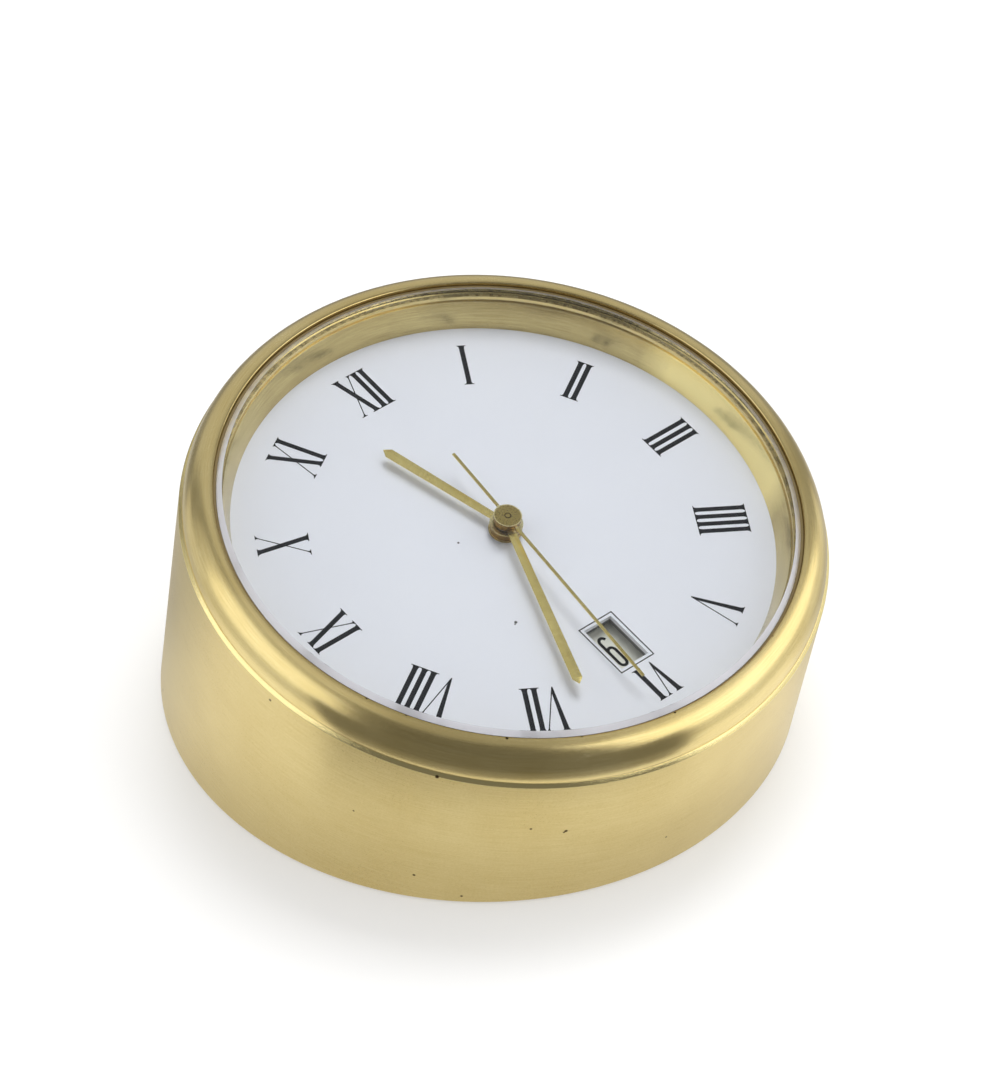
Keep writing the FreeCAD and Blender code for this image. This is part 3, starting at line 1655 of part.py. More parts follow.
def lying_rod(name, radius, length, start, y, z):
    """A round bar along +X from a starting place."""
    piece = doc.addObject("Part::Cylinder", name)
    bind(piece, Radius=radius, Height=length)
    text = (
        "create(<<placement>>; create(<<vector>>; %s; %s; %s); "
        "create(<<rotation>>; create(<<vector>>; 0; 1; 0); 90))"
        % (as_size(start).text, as_size(y).text, as_size(z).text)
    )
    piece.setExpression("Placement", text)
    return piece


can_level = board_foot - crystal_can_radius
can = lying_rod(
    "can",
    crystal_can_radius,
    crystal_can_length,
    crystal_can_x,
    crystal_can_y,
    can_level,
)
can_leads = block(
    "can_leads",
    leads_length,
    leads_width,
    crystal_can_radius,
    crystal_can_x - leads_length * 2 / 7,
    crystal_can_y,
    can_level,
)
keep(fuse("can_fused", [can, can_leads]), "quartz_can")

# The rear housing: a moulded cup with the battery's compartment at its XII side.
bay_half_length = battery_length / 2 + contact_room
bay_half_width = battery_radius + battery_gap
bay_length = bay_half_length * 2
bay_width = bay_half_width * 2
door_face = -(battery_depth + battery_radius + battery_gap)
door_foot = door_face - door_thickness
box_length = bay_length + housing_wall * 2
box_width = bay_width + housing_wall * 2
cup = cut(
    "cup",
    cylinder("cup_outside", movement_radius, plate_back - housing_foot, z=housing_foot),
    [
        cylinder(
            "cup_inside",
            movement_radius - housing_wall,
            plate_back - housing_inside + overcut,
            z=housing_inside,
        )
    ],
)
bay_box = doc.addObject("Part::Common", "bay_box")
bay_box.Base = block(
    "bay_outside", box_length, box_width, plate_back - door_foot, 0.0, battery_y, door_foot
)
bay_box.Tool = cylinder("bay_round", movement_radius, plate_back - door_foot, z=door_foot)
housing_tools = [
    block(
        "bay_inside",
        bay_length,
        bay_width,
        plate_back - door_face + overcut,
        0.0,
        battery_y,
        door_face,
    ),
    block(
        "door_seat",
        bay_length + door_ledge * 2,
        bay_width + door_ledge * 2,
        door_thickness + overcut,
        0.0,
        battery_y,
        door_foot - overcut,
    ),
    hole(
        "knob_opening",
        knob_arbor_radius + arbor_gap * 3,
        housing_foot,
        housing_inside,
        setting_x,
        setting_y,
    ),
]
strip_foot = board_foot - contact_thickness
for i, side in enumerate((1.0, -1.0)):
    housing_tools.append(
        block(
            "strip_slot%d" % i,
            contact_strip_width + strip_play * 2,
            strip_slot_length,
            contact_thickness + strip_play * 2,
            (bay_half_length - contact_strip_width / 2 - strip_play) * side,
            battery_y - bay_half_width - housing_wall / 2,
            strip_foot - strip_play,
        )
    )
for i, (x, y) in enumerate(housing_spots):
    housing_tools.append(
        hole("floor_hole%d" % i, screw_clearance, housing_foot, housing_inside, x, y)
    )
keep(cut("housing_cut", fuse("housing_fused", [cup, bay_box]), housing_tools), "rear_housing")
screws("housing_screws", housing_spots, housing_foot, housing_screw_length)

# The battery and its two contacts.
can_length = battery_length - battery_cap_length
battery_start = -battery_length / 2
battery = fuse(
    "battery_fused",
    [
        lying_rod(
            "battery_can", battery_radius, can_length, battery_start, battery_y, -battery_depth
        ),
        lying_rod(
            "battery_cap",
            battery_cap_radius,
            battery_cap_length,
            battery_start + can_length,
            battery_y,
            -battery_depth,
        ),
    ],
)
keep(battery, "battery_cell")
strip_start = battery_y - contact_plate / 2 + strip_play * 2
for label, side in (("contact_positive", 1.0), ("contact_negative", -1.0)):
    plate_x = (bay_half_length - contact_thickness / 2) * side
    if side > 0:
        bump_start = battery_length / 2
    else:
        bump_start = -bay_half_length + contact_thickness
    contact = fuse(
        label + "_fused",
        [
            block(
                label + "_plate",
                contact_thickness,
                contact_plate,
                contact_plate,
                plate_x,
                battery_y,
                -battery_depth - contact_plate / 2,
            ),
            lying_rod(
                label + "_bump",
                contact_bump_radius,
                contact_room - contact_thickness,
                bump_start,
                battery_y,
                -battery_depth,
            ),
            block(
                label + "_strip",
                contact_strip_width,
                strip_start - contact_strip_end,
                contact_thickness,
                (bay_half_length - contact_strip_width / 2) * side,
                (strip_start + contact_strip_end) / 2,
                strip_foot,
            ),
        ],
    )
    keep(contact, label)
door_blank = block(
    "door_blank",
    bay_length + (door_ledge - door_gap) * 2,
    bay_width + (door_ledge - door_gap) * 2,
    door_thickness,
    0.0,
    battery_y,
    door_foot,
)
thumb_cut = block(
    "thumb_cut",
    thumb_cut_length,
    thumb_cut_width,
    thumb_cut_depth * 2,
    0.0,
    battery_y,
    door_foot - thumb_cut_depth,
)
keep(cut("door_cut", door_blank, [thumb_cut]), "battery_door")

# The set arbor, with its pinion in the minute wheel, and the knob on its other end.
setting_turn = meshed_turn(minute_teeth, minute_turn, 0.0, setting_teeth)
knob_top = housing_foot - knob_gap
setting_rim = toothed_rim(
    "setting_rim",
    setting_teeth,
    motion_module,
    cannon_face,
    cannon_foot,
    setting_turn,
    None,
)
setting_foot = knob_top - knob_bore_depth
setting_rod = cylinder(
    "setting_rod",
    knob_arbor_radius,
    cannon_foot - setting_foot,
    setting_x,
    setting_y,
    setting_foot,
)
keep(
    fuse("setting_fused", [put(setting_rim, setting_x, setting_y), setting_rod]), "set_arbor"
)
knob_foot = knob_top - knob_height
knob_blank = turned(
    "knob_blank",
    [
        (0.0, knob_top),
        (knob_radius - knob_edge, knob_top),
        (knob_radius, knob_top - knob_edge),
        (knob_radius, knob_foot + knob_edge),
        (knob_radius - knob_edge, knob_foot),
        (0.0, knob_foot),
    ],
)
put(knob_blank, setting_x, setting_y)
knob_tools = [
    hole_from_front(
        "knob_bore", knob_arbor_radius, knob_top, knob_bore_depth, setting_x, setting_y
    )
]
for i in range(int(float(flute_count))):
    flute_x, flute_y = at_circle(knob_radius, 360.0 * i / flute_count)
    knob_tools.append(
        hole(
            "flute%d" % i,
            flute_radius,
            knob_foot,
            knob_top,
            setting_x + flute_x,
            setting_y + flute_y,
        )
    )
keep(cut("knob_cut", knob_blank, knob_tools), "set_knob")

# The back cover: a ring that closes the room between the movement and the case.
cover_disc = tube(
    "cover_disc",
    case_bore_radius - cover_gap,
    movement_radius + cover_gap,
    cover_thickness,
    z=cover_foot,
)
cover_holes = []
for i, (x, y) in enumerate(cover_spots):
    cover_holes.append(
        hole("cover_hole%d" % i, screw_clearance, cover_foot, cover_post_foot, x, y)
    )
keep(cut("cover_cut", cover_disc, cover_holes), "back_cover")
screws("back_cover_screws", cover_spots, cover_foot, cover_screw_length)

doc.recompute()
os.makedirs("parts", exist_ok=True)
faults = []
for item in doc.Objects:
    if "Invalid" in item.State or "Error" in item.State:
        faults.append("%s: %s" % (item.Name, item.State))
for piece in parts:
    shape = piece.Shape
    if shape.isNull() or not shape.isValid() or not shape.Solids:
        faults.append("%s: shape not sound" % piece.Label)
if faults:
    raise RuntimeError("; ".join(faults))
for piece in parts:
    piece.Shape.exportStep(os.path.join("parts", piece.Label + ".step"))
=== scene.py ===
import json
import math

import bmesh
import bpy
import numpy as np
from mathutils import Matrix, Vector


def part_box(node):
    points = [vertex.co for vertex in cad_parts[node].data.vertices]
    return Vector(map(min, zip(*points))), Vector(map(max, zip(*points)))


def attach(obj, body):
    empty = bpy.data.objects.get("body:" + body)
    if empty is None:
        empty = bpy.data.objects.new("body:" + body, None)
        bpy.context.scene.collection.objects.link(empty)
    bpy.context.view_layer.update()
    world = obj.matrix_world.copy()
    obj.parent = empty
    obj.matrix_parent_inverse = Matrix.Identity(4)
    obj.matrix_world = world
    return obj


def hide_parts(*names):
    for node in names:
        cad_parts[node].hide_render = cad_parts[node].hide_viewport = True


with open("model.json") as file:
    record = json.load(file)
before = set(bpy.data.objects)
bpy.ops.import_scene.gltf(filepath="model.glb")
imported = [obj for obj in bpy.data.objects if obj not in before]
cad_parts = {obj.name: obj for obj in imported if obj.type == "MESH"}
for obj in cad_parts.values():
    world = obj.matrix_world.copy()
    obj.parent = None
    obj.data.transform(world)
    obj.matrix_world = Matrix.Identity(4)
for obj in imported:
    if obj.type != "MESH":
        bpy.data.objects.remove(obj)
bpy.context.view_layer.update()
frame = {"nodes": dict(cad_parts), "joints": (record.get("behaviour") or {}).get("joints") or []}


# Case: a length of thick brass tube, turned to 90 mm, brushed round and round, and cut off at
# a slant so that the dial leans back.  Its top edge has a polished chamfer, whose colour is
# painted paler as a painted highlight, and the slanted rim is left flat with a groove for the foot.
mm = 0.001
seconds_axis = Vector(next(j for j in frame["joints"] if j["name"] == "seconds_spin")["axis"])
lean = math.atan2(seconds_axis.y, -seconds_axis.z)


def level_of(node, end):
    """The lowest (end 0) or highest (end 1) level of a node along the case axis, in millimetres
    from the middle of the foot: the dot product of its points with the axis."""
    mesh = frame["nodes"][node].data
    points = np.empty(len(mesh.vertices) * 3, np.float32)
    mesh.vertices.foreach_get("co", points)
    levels = points.reshape(-1, 3) @ np.array([0.0, -math.sin(lean), math.cos(lean)]) / mm
    return float((levels.min(), levels.max())[end])


def stand(points):
    """Turns points (x, y, level) about X by the lean of the case and scales them to metres."""
    x, y, level = np.moveaxis(np.asarray(points, float), -1, 0)
    leaning_y = y * math.cos(lean) - level * math.sin(lean)
    leaning_z = y * math.sin(lean) + level * math.cos(lean)
    return np.stack([x, leaning_y, leaning_z], axis=-1) * mm


def rounded(corners, easing, steps=4):
    """A closed outline with eased corners: each corner c becomes the parabola
    (1-t)^2 a + 2t(1-t) c + t^2 b between the points a and b that lie `easing` before and after."""
    corners = np.asarray(corners, float)
    before = np.roll(corners, 1, axis=-2) - corners
    after = np.roll(corners, -1, axis=-2) - corners
    before_length = np.linalg.norm(before, axis=-1, keepdims=True)
    after_length = np.linalg.norm(after, axis=-1, keepdims=True)
    easing = np.broadcast_to(np.asarray(easing, float), corners.shape[-2])[:, None]
    reach = np.minimum(easing, 0.45 * np.minimum(before_length, after_length))
    start = (corners + before / before_length * reach)[..., None, :]
    finish = (corners + after / after_length * reach)[..., None, :]
    t = np.linspace(0, 1, steps)[:, None]
    bend = (1 - t) ** 2 * start + 2 * t * (1 - t) * corners[..., None, :] + t**2 * finish
    return bend.reshape(*corners.shape[:-2], -1, 2)


case_sectors = 360
fine_sectors = 480


def turned(profile, sectors=case_sectors):
    """A profile carried round the case axis: (r, w) at the turn a becomes (r cos a, r sin a, w).
    The profile may differ from turn to turn, as on the slanted case."""
    turns = np.linspace(0, 2 * np.pi, sectors, endpoint=False)[:, None]
    profile = np.broadcast_to(profile, (sectors, *np.shape(profile)[-2:]))
    radius, level = profile[..., 0], profile[..., 1]
    return np.stack([radius * np.cos(turns), radius * np.sin(turns), level], axis=-1)


def grid_faces(rows, columns, wrap_columns, first=0):
    """Quads between the neighbours of a grid that closes on itself along its rows."""
    across = columns if wrap_columns else columns - 1
    i, j = np.meshgrid(np.arange(rows), np.arange(across), indexing="ij")
    next_i, next_j = (i + 1) % rows, (j + 1) % columns
    quads = [i * columns + j, next_i * columns + j, next_i * columns + next_j, i * columns + next_j]
    return np.stack(quads, axis=-1).reshape(-1, 4) + first


merge_distance = 0.0005


def piece(name, grids, finish, body, sharp=35.0):
    """One object from closed grids of points: doubles are merged, so poles and seams close, and
    faces turn outwards.  Edges sharper than `sharp` degrees stay crisp."""
    points, faces, first = [], [], 0
    for grid in grids:
        rows, columns = grid.shape[:2]
        on_axis = np.allclose(grid[:, [0, -1], :2], 0)
        faces.append(grid_faces(rows, columns, not on_axis, first))
        points.append(grid.reshape(-1, 3))
        first += rows * columns
    mesh = bpy.data.meshes.new(name)
    mesh.from_pydata(stand(np.concatenate(points)), [], np.concatenate(faces))
    shell = bmesh.new()
    shell.from_mesh(mesh)
    bmesh.ops.remove_doubles(shell, verts=shell.verts, dist=merge_distance * mm)
    bmesh.ops.recalc_face_normals(shell, faces=shell.faces)
    shell.to_mesh(mesh)
    shell.free()
    mesh.polygons.foreach_set("use_smooth", np.ones(len(mesh.polygons), bool))
    mesh.set_sharp_from_angle(angle=math.radians(sharp))
    mesh.materials.append(finish)
    made = bpy.data.objects.new(name, mesh)
    bpy.context.scene.collection.objects.link(made)
    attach(made, body)
    return made


class Wire:
    """A shader output whose arithmetic adds Math nodes, so that a mask is written as a formula."""

    def __init__(self, finish, socket):
        self.finish = finish
        self.socket = socket

    def math(self, operation, *others, clamp=False):
        settings = {"operation": operation, "use_clamp": clamp}
        return self.finish.node("ShaderNodeMath", settings, dict(enumerate((self, *others))))

    def __add__(self, other):
        return self.math("ADD", other)

    def __sub__(self, other):
        return self.math("SUBTRACT", other)

    def __rsub__(self, other):
        return self.finish.node("ShaderNodeMath", {"operation": "SUBTRACT"}, {0: other, 1: self})

    def __mul__(self, other):
        return self.math("MULTIPLY", other)

    def __truediv__(self, other):
        return self.math("DIVIDE", other)

    __radd__ = __add__
    __rmul__ = __mul__

    def above(self, edge, blur):
        """0 below the edge, 1 above it, with a straight ramp `blur` wide that is centred on it."""
        return ((self - edge) / blur).math("ADD", 0.5, clamp=True)

    def below(self, edge, blur):
        return ((edge - self) / blur).math("ADD", 0.5, clamp=True)


class Finish:
    """A node material.  `node` adds any node and returns an output; `surface` ends it."""

    def __init__(self, name, kind=bpy.data.materials):
        self.material = kind.new(name)
        self.material.use_nodes = True
        self.tree = self.material.node_tree
        self.tree.nodes.clear()

    def node(self, kind, settings=None, values=None, output=0):
        made = self.tree.nodes.new(kind)
        for name, value in (settings or {}).items():
            setattr(made, name, value)
        for socket, value in (values or {}).items():
            if isinstance(value, Wire):
                self.tree.links.new(value.socket, made.inputs[socket])
            else:
                made.inputs[socket].default_value = value
        return Wire(self, made.outputs[output])

    def case_axes(self):
        """Object coordinates in the case's own axes, in millimetres: x, y and level."""
        here = self.node("ShaderNodeTexCoord", output="Object")
        turn = {"Vector": here, "Rotation": (-lean, 0, 0), "Scale": (1 / mm,) * 3}
        upright = self.node("ShaderNodeMapping", {"vector_type": "POINT"}, turn)
        return [self.node("ShaderNodeSeparateXYZ", {}, {0: upright}, axis) for axis in range(3)]

    def up_axis(self):
        """How far the surface faces up the case axis: 1 on a top, 0 on a wall, -1 on a foot."""
        facing = self.node("ShaderNodeNewGeometry", output="Normal")
        vectors = {0: facing, 1: (0.0, -math.sin(lean), math.cos(lean))}
        return self.node("ShaderNodeVectorMath", {"operation": "DOT_PRODUCT"}, vectors, "Value")

    def noise(self, vector, scale, detail=2.0, roughness=0.5):
        values = {"Vector": vector, "Scale": scale, "Detail": detail, "Roughness": roughness}
        return self.node("ShaderNodeTexNoise", {"noise_dimensions": "3D"}, values)

    def vector(self, x, y, z):
        return self.node("ShaderNodeCombineXYZ", {}, {0: x, 1: y, 2: z})

    def mix(self, share, first, second):
        settings = {"data_type": "RGBA", "clamp_factor": True}
        return self.node("ShaderNodeMix", settings, {0: share, 6: first, 7: second}, 2)

    def bump(self, height, distance):
        return self.node("ShaderNodeBump", {}, {"Height": height, "Distance": distance})

    def end(self, shader, kind="ShaderNodeOutputMaterial"):
        output = self.tree.nodes.new(kind)
        self.tree.links.new(shader.socket, output.inputs["Surface"])
        return self.material

    def surface(self, **sockets):
        values = {name.replace("_", " "): value for name, value in sockets.items()}
        return self.end(self.node("ShaderNodeBsdfPrincipled", {}, values))


def shade(red, green, blue):
    """A colour written as a display value from 0 to 255 for each channel, made linear."""
    display = np.array([red, green, blue]) / 255
    linear = np.where(display <= 0.04045, display / 12.92, ((display + 0.055) / 1.055) ** 2.4)
    return (*linear, 1.0)


def spun_metal(
    name,
    light,
    dark,
    gloss,
    groove=0.0012,
    anisotropy=0.6,
    sand=0.0,
    polish_and_highlight=None,
    tarnish_and_painted_light=None,
    glow=None,
    nicks=(),
):
    """Turned metal: fine grooves round the axis.  Noises that are stretched round the axis and
    fine along the profile (radius minus level) tint the metal, vary its roughness and raise the
    grooves.  `sand` adds fine grain.  `polish_and_highlight` is a level above which the metal is
    polished and its colour is painted paler, a painted highlight.  `tarnish_and_painted_light`
    holds the radii of a tarnished
    middle: its reach, where the painted highlight on its rim begins, and the outside and inside
    of its pivot mark; the middle's walls, which don't face up the axis, get painted shade.
    `glow` is a turn round which a painted highlight makes the metal paler, and the cosine of
    the angle where that ends.  `nicks` are marks: turn, radius, level and size."""
    finish = Finish(name)
    x, y, level = finish.case_axes()
    here = finish.vector(x, y, level)
    radius = (x * x + y * y).math("SQRT")
    along = radius - level

    def wound(turns, rows):
        return finish.vector(x / radius * turns, y / radius * turns, along * rows)

    streaks = finish.noise(wound(7.0, 9.0), 1.0, detail=3.0)
    grooves = finish.noise(wound(16.0, 42.0), 1.0, detail=4.0, roughness=0.65)
    cloud = finish.noise(here, 0.07, detail=3.0)
    tone = streaks * 0.5 + grooves * 0.35 + cloud * 0.5
    rough = gloss + (grooves - 0.5) * 0.14 + (cloud - 0.5) * 0.08
    if sand:
        grain = finish.noise(here, 3.4, detail=2.0) - 0.5
        tone = tone + grain * sand
        rough = rough + grain * 0.3 * sand
    colour = finish.mix(tone.above(0.68, 0.5), dark, light)
    if tarnish_and_painted_light:
        reach, highlight_start, mark_outside, mark_inside = tarnish_and_painted_light
        tarnish = radius.below(reach, 0.2)
        mark = radius.above(mark_inside, 0.06) * radius.below(mark_outside, 0.06)
        # Painted highlight: a pale line on the top rim of the tarnished middle.
        rim = radius.above(highlight_start, 0.08) * tarnish
        # Painted shade: the sides of the tarnished middle, which don't face up the axis, are
        # darkened.
        wall = finish.up_axis().below(0.5, 0.2) * tarnish
        colour = finish.mix(tarnish, colour, shade(184, 164, 98))
        colour = finish.mix(mark, colour, shade(84, 66, 28))
        colour = finish.mix(rim, colour, shade(250, 238, 186))
        colour = finish.mix(wall, colour, shade(134, 104, 50))
        rough = rough + tarnish * 0.08
    # Painted highlight: the colour is paler within an angle round the given turn.
    if glow:
        turn, end = math.radians(glow[0]), glow[1]
        toward = (x * math.cos(turn) + y * math.sin(turn)) / radius
        colour = finish.mix(toward.above(end, 0.05), colour, shade(255, 236, 164))
    # The polished chamfer: lower roughness, and a paler colour that is a painted highlight.
    if polish_and_highlight is not None:
        polish_highlight = level.above(polish_and_highlight, 0.03)
        colour = finish.mix(polish_highlight, colour, shade(247, 229, 164))
        rough = rough - polish_highlight * (gloss - 0.1)
    for turn, place, height, size in nicks:
        angle = math.radians(turn)
        off_x, off_y = x - place * math.cos(angle), y - place * math.sin(angle)
        off_level = level - height
        away = (off_x * off_x + off_y * off_y + off_level * off_level).math("SQRT")
        colour = finish.mix(away.below(size, 0.12), colour, shade(72, 54, 22))
    return finish.surface(
        Base_Color=colour,
        Metallic=1.0,
        Roughness=rough,
        Anisotropic=anisotropy,
        Anisotropic_Rotation=0.25,
        Normal=finish.bump(grooves, groove * mm * 10),
    )


seat_radius = 41.3
case_radius = 45.0
bore_radius = 40.3
top_edge = 0.45
rim_edge = 0.25
case_ease = 0.06
carrier_rise = 1.1
polish_lap = 0.03
foot_outer = 43.75
foot_inner = 41.45
groove_depth = 0.7
case_top = level_of("case_body", 1)
seat_level = level_of("dial_carrier", 1) - carrier_rise
rim_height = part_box("case_body")[0].z / mm
wall_nicks = [
    (235.4, 24.13, 0.17),
    (241.6, 23.26, 0.24),
    (241.3, 23.0, 0.16),
    (217.3, 10.71, 0.2),
    (218.1, 33.01, 0.26),
    (151.8, -4.19, 0.3),
    (185.8, 31.64, 0.2),
    (147.3, -1.85, 0.22),
    (226.0, 8.0, 0.18),
    (262.0, 15.5, 0.15),
    (205.0, 20.0, 0.14),
]
wall_brass = spun_metal(
    "wall_brass",
    light=shade(226, 208, 150),
    dark=shade(205, 183, 120),
    gloss=0.31,
    anisotropy=0.35,
    sand=0.35,
    # Above this level the chamfer is polished, and its paler colour is a painted highlight.
    polish_and_highlight=case_top - top_edge - polish_lap,
    nicks=[(turn, case_radius, level, size) for turn, level, size in wall_nicks],
)


def rim_level(radius, turns, height):
    """The level at which a line down the wall meets a level plane `height` above the floor."""
    return (height - radius * np.sin(turns) * math.sin(lean)) / math.cos(lean)


def case_profile(sectors=case_sectors):
    """The case's section at each turn: wall, chamfers, slanted rim with its groove, bore, seat."""
    turns = np.linspace(0, 2 * np.pi, sectors, endpoint=False)
    rim = [
        (case_radius, rim_height + rim_edge),
        (case_radius - rim_edge, rim_height),
        (foot_outer, rim_height),
        (foot_outer, rim_height + groove_depth),
        (foot_inner, rim_height + groove_depth),
        (foot_inner, rim_height),
        (bore_radius, rim_height),
    ]
    top = [
        (bore_radius, seat_level),
        (seat_radius, seat_level),
        (seat_radius, case_top),
        (case_radius - top_edge, case_top),
        (case_radius, case_top - top_edge),
    ]
    slanted = [
        np.stack([np.full(sectors, r), rim_level(r, turns, height)], axis=-1)
        for r, height in rim
    ]
    level_ones = [np.broadcast_to(np.array(corner), (sectors, 2)) for corner in top]
    return np.stack(slanted + level_ones, axis=1)


case_grid = turned(rounded(case_profile(), case_ease))
case = piece("case", [case_grid], wall_brass, "clock")
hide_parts("case_body")


# Foot: a black rubber ring that is pressed into the groove of the slanted rim and stands
# 0.3 mm proud of it, so that the brass never touches the desk.
def moulded(name, colour, gloss, grain=0.02, size=6.0, shift=0.12):
    """Moulded rubber or plastic: a fine spark-eroded grain in the surface, faint clouds in the
    colour, `shift` lighter and darker, and small changes of gloss."""
    finish = Finish(name)
    here = finish.node("ShaderNodeTexCoord", output="Object")
    pits = finish.noise(here, size / mm, detail=3.0, roughness=0.6)
    cloud = finish.noise(here, 0.12 / mm, detail=3.0)
    darker = tuple(c * (1 - shift) for c in colour[:3]) + (1.0,)
    lighter = tuple(c * (1 + shift) for c in colour[:3]) + (1.0,)
    return finish.surface(
        Base_Color=finish.mix(cloud.above(0.5, 0.5), darker, lighter),
        Roughness=gloss + (pits - 0.5) * 0.2,
        Normal=finish.bump(pits, grain * mm),
    )


def dress(material, *nodes):
    """Gives CAD nodes a material in every slot of their meshes."""
    for node in nodes:
        slots = frame["nodes"][node].data.materials
        slots.clear()
        slots.append(material)


dress(moulded("foot_black", shade(38, 37, 36), 0.7, grain=0.03), "foot_ring")


# Bezel: a brass ring turned with a quarter-oval back and polished.  Its spigot is pressed into
# the case, and its ledge carries the crystal.
glass_radius = 40.2
glass_top = level_of("crystal", 1)
glass_foot = level_of("crystal", 0)
bezel_top = level_of("bezel_ring", 1)
bezel_foot = level_of("bezel_ring", 0)
bezel_bore = 40.66
ledge_radius = 39.36
ledge_thickness = 0.8
spigot_outer = 41.25
spigot_inner = 40.15
lip_ease = 0.08
lip_drop = 0.04
bezel_ease = 0.05
bezel_brass = spun_metal(
    "bezel_brass",
    light=shade(240, 222, 164),
    dark=shade(214, 190, 122),
    gloss=0.24,
    groove=0.0004,
    anisotropy=0.3,
    sand=0.12,
    nicks=[
        (252.6, 43.6, case_top + 2.2, 0.16),
        (251.9, 43.9, case_top + 1.7, 0.12),
        (194.0, 43.0, case_top + 3.2, 0.12),
        (229.0, 40.9, bezel_top, 0.2),
        (210.0, 40.8, bezel_top, 0.13),
        (202.0, 40.8, bezel_top, 0.15),
        (243.0, 40.8, bezel_top, 0.14),
        (262.0, 40.8, bezel_top, 0.17),
        (290.0, 40.8, bezel_top, 0.12),
    ],
)


def quarter_oval(inner, top, outer, foot, steps=40):
    """The bezel's back: from (inner, top) round to (outer, foot), a quarter of an ellipse."""
    t = np.linspace(0, np.pi / 2, steps)
    return np.stack([inner + (outer - inner) * np.sin(t), foot + (top - foot) * np.cos(t)], -1)


oval_back = quarter_oval(
    bezel_bore + lip_ease, bezel_top - lip_drop, case_radius - top_edge, case_top
)
bezel_corners = [
    (spigot_outer, case_top),
    (spigot_outer, bezel_foot),
    (spigot_inner, bezel_foot),
    (spigot_inner, glass_foot - ledge_thickness),
    (ledge_radius, glass_foot - ledge_thickness),
    (ledge_radius, glass_foot),
    (bezel_bore, glass_foot),
    (bezel_bore, bezel_top - lip_ease),
]
bezel_profile = np.concatenate([oval_back, rounded(bezel_corners, bezel_ease)])
bezel_grid = turned(bezel_profile, fine_sectors)
bezel = piece("bezel", [bezel_grid], bezel_brass, "clock")
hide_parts("bezel_ring")


# Gasket: a thin sleeve of brown plastic, pressed in between the crystal and the bezel.  It
# holds the crystal tight on its ledge and shows as a thin dark line.
gasket_foot = level_of("crystal_gasket", 0)
gasket_top = level_of("crystal_gasket", 1)
gasket_clearance = 0.03
gasket_wall = 0.4
gasket_ease = 0.08
gasket_inner = glass_radius + gasket_clearance
gasket_outer = gasket_inner + gasket_wall
gasket_corners = [
    (gasket_inner, gasket_foot),
    (gasket_outer, gasket_foot),
    (gasket_outer, gasket_top),
    (gasket_inner, gasket_top),
]
gasket_brown = moulded("gasket_brown", shade(112, 96, 60), 0.55, grain=0.01)
gasket_grid = turned(rounded(gasket_corners, gasket_ease))
gasket = piece("gasket", [gasket_grid], gasket_brown, "clock")
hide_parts("crystal_gasket")


# Crystal: a flat disc of mineral glass 2.8 mm thick.  Its faces and rim are polished, and a
# narrow ground bevel runs round its top, which shows as a pale band on the near side.
glass_bevel = 0.78
bevel_depth = 0.5
glass_edge = 0.2
glass_index = 1.52


def mineral_glass():
    """Clear glass that lets the lamps' light through, with a ground bevel round its top."""
    finish = Finish("mineral_glass")
    x, y, level = finish.case_axes()
    radius = (x * x + y * y).math("SQRT")
    here = finish.vector(x, y, level)
    outside = radius.above(glass_radius - glass_bevel + 0.02, 0.03)
    bevel = outside * level.above(glass_top - bevel_depth - 0.04, 0.03)
    grit = finish.noise(here, 9.0, detail=3.0)
    clear_sockets = {
        "Base Color": (0.985, 0.995, 0.99, 1.0),
        "Roughness": 0.0,
        "IOR": glass_index,
        "Transmission Weight": 1.0,
    }
    ground_sockets = {
        "Base Color": shade(220, 216, 218),
        "Roughness": 0.32,
        "IOR": glass_index,
        "Transmission Weight": 0.82,
        "Normal": finish.bump(grit, 0.01 * mm),
    }
    clear = finish.node("ShaderNodeBsdfPrincipled", {}, clear_sockets)
    ground = finish.node("ShaderNodeBsdfPrincipled", {}, ground_sockets)
    glass = finish.node("ShaderNodeMixShader", {}, {0: bevel, 1: clear, 2: ground})
    shadow_ray = finish.node("ShaderNodeLightPath", output="Is Shadow Ray")
    through = finish.node("ShaderNodeBsdfTransparent", {}, {0: (0.93, 0.94, 0.935, 1.0)})
    whole = finish.node("ShaderNodeMixShader", {}, {0: shadow_ray, 1: glass, 2: through})
    return finish.end(whole)


crystal_profile = [
    (0.0, glass_top),
    (glass_radius - glass_bevel, glass_top),
    (glass_radius, glass_top - bevel_depth),
    (glass_radius, glass_foot + glass_edge),
    (glass_radius - glass_edge, glass_foot),
    (0.0, glass_foot),
]
crystal_grid = turned(crystal_profile, fine_sectors)
crystal = piece(
    "crystal_glass", [crystal_grid], mineral_glass(), "clock", sharp=10.0
)
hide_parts("crystal")


# Reflector: a thin coned ring of spun brass between the crystal's ledge and the dial, with the
# fine lines of the lathe left in it, and a painted highlight that makes it paler round one turn.
reflector_top = level_of("reflector_ring", 1)
reflector_foot = level_of("reflector_ring", 0)
reflector_outer = 40.1
reflector_mouth = 39.15
reflector_throat = 37.83
reflector_ease = 0.05
reflector_corners = [
    (reflector_mouth, reflector_top),
    (reflector_outer, reflector_top),
    (reflector_outer, reflector_foot),
    (reflector_throat, reflector_foot),
]
reflector_brass = spun_metal(
    "reflector_brass",
    light=shade(226, 208, 148),
    dark=shade(180, 160, 104),
    gloss=0.19,
    groove=0.0007,
    sand=0.15,
    # A painted highlight round the turn of -6 degrees.
    glow=(-6.0, 0.925),
)
reflector_grid = turned(rounded(reflector_corners, reflector_ease), fine_sectors)
reflector = piece("reflector", [reflector_grid], reflector_brass, "clock")
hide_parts("reflector_ring")


# Dial: a metal plate sprayed with white lacquer.  The hour numerals and the frame of the date
# are printed on it in black, and a few specks of dust lie under the lacquer.
specks = [(-6.6, 2.1, 0.16), (-9.1, -13.1, 0.22), (-9.4, -13.3, 0.12)]


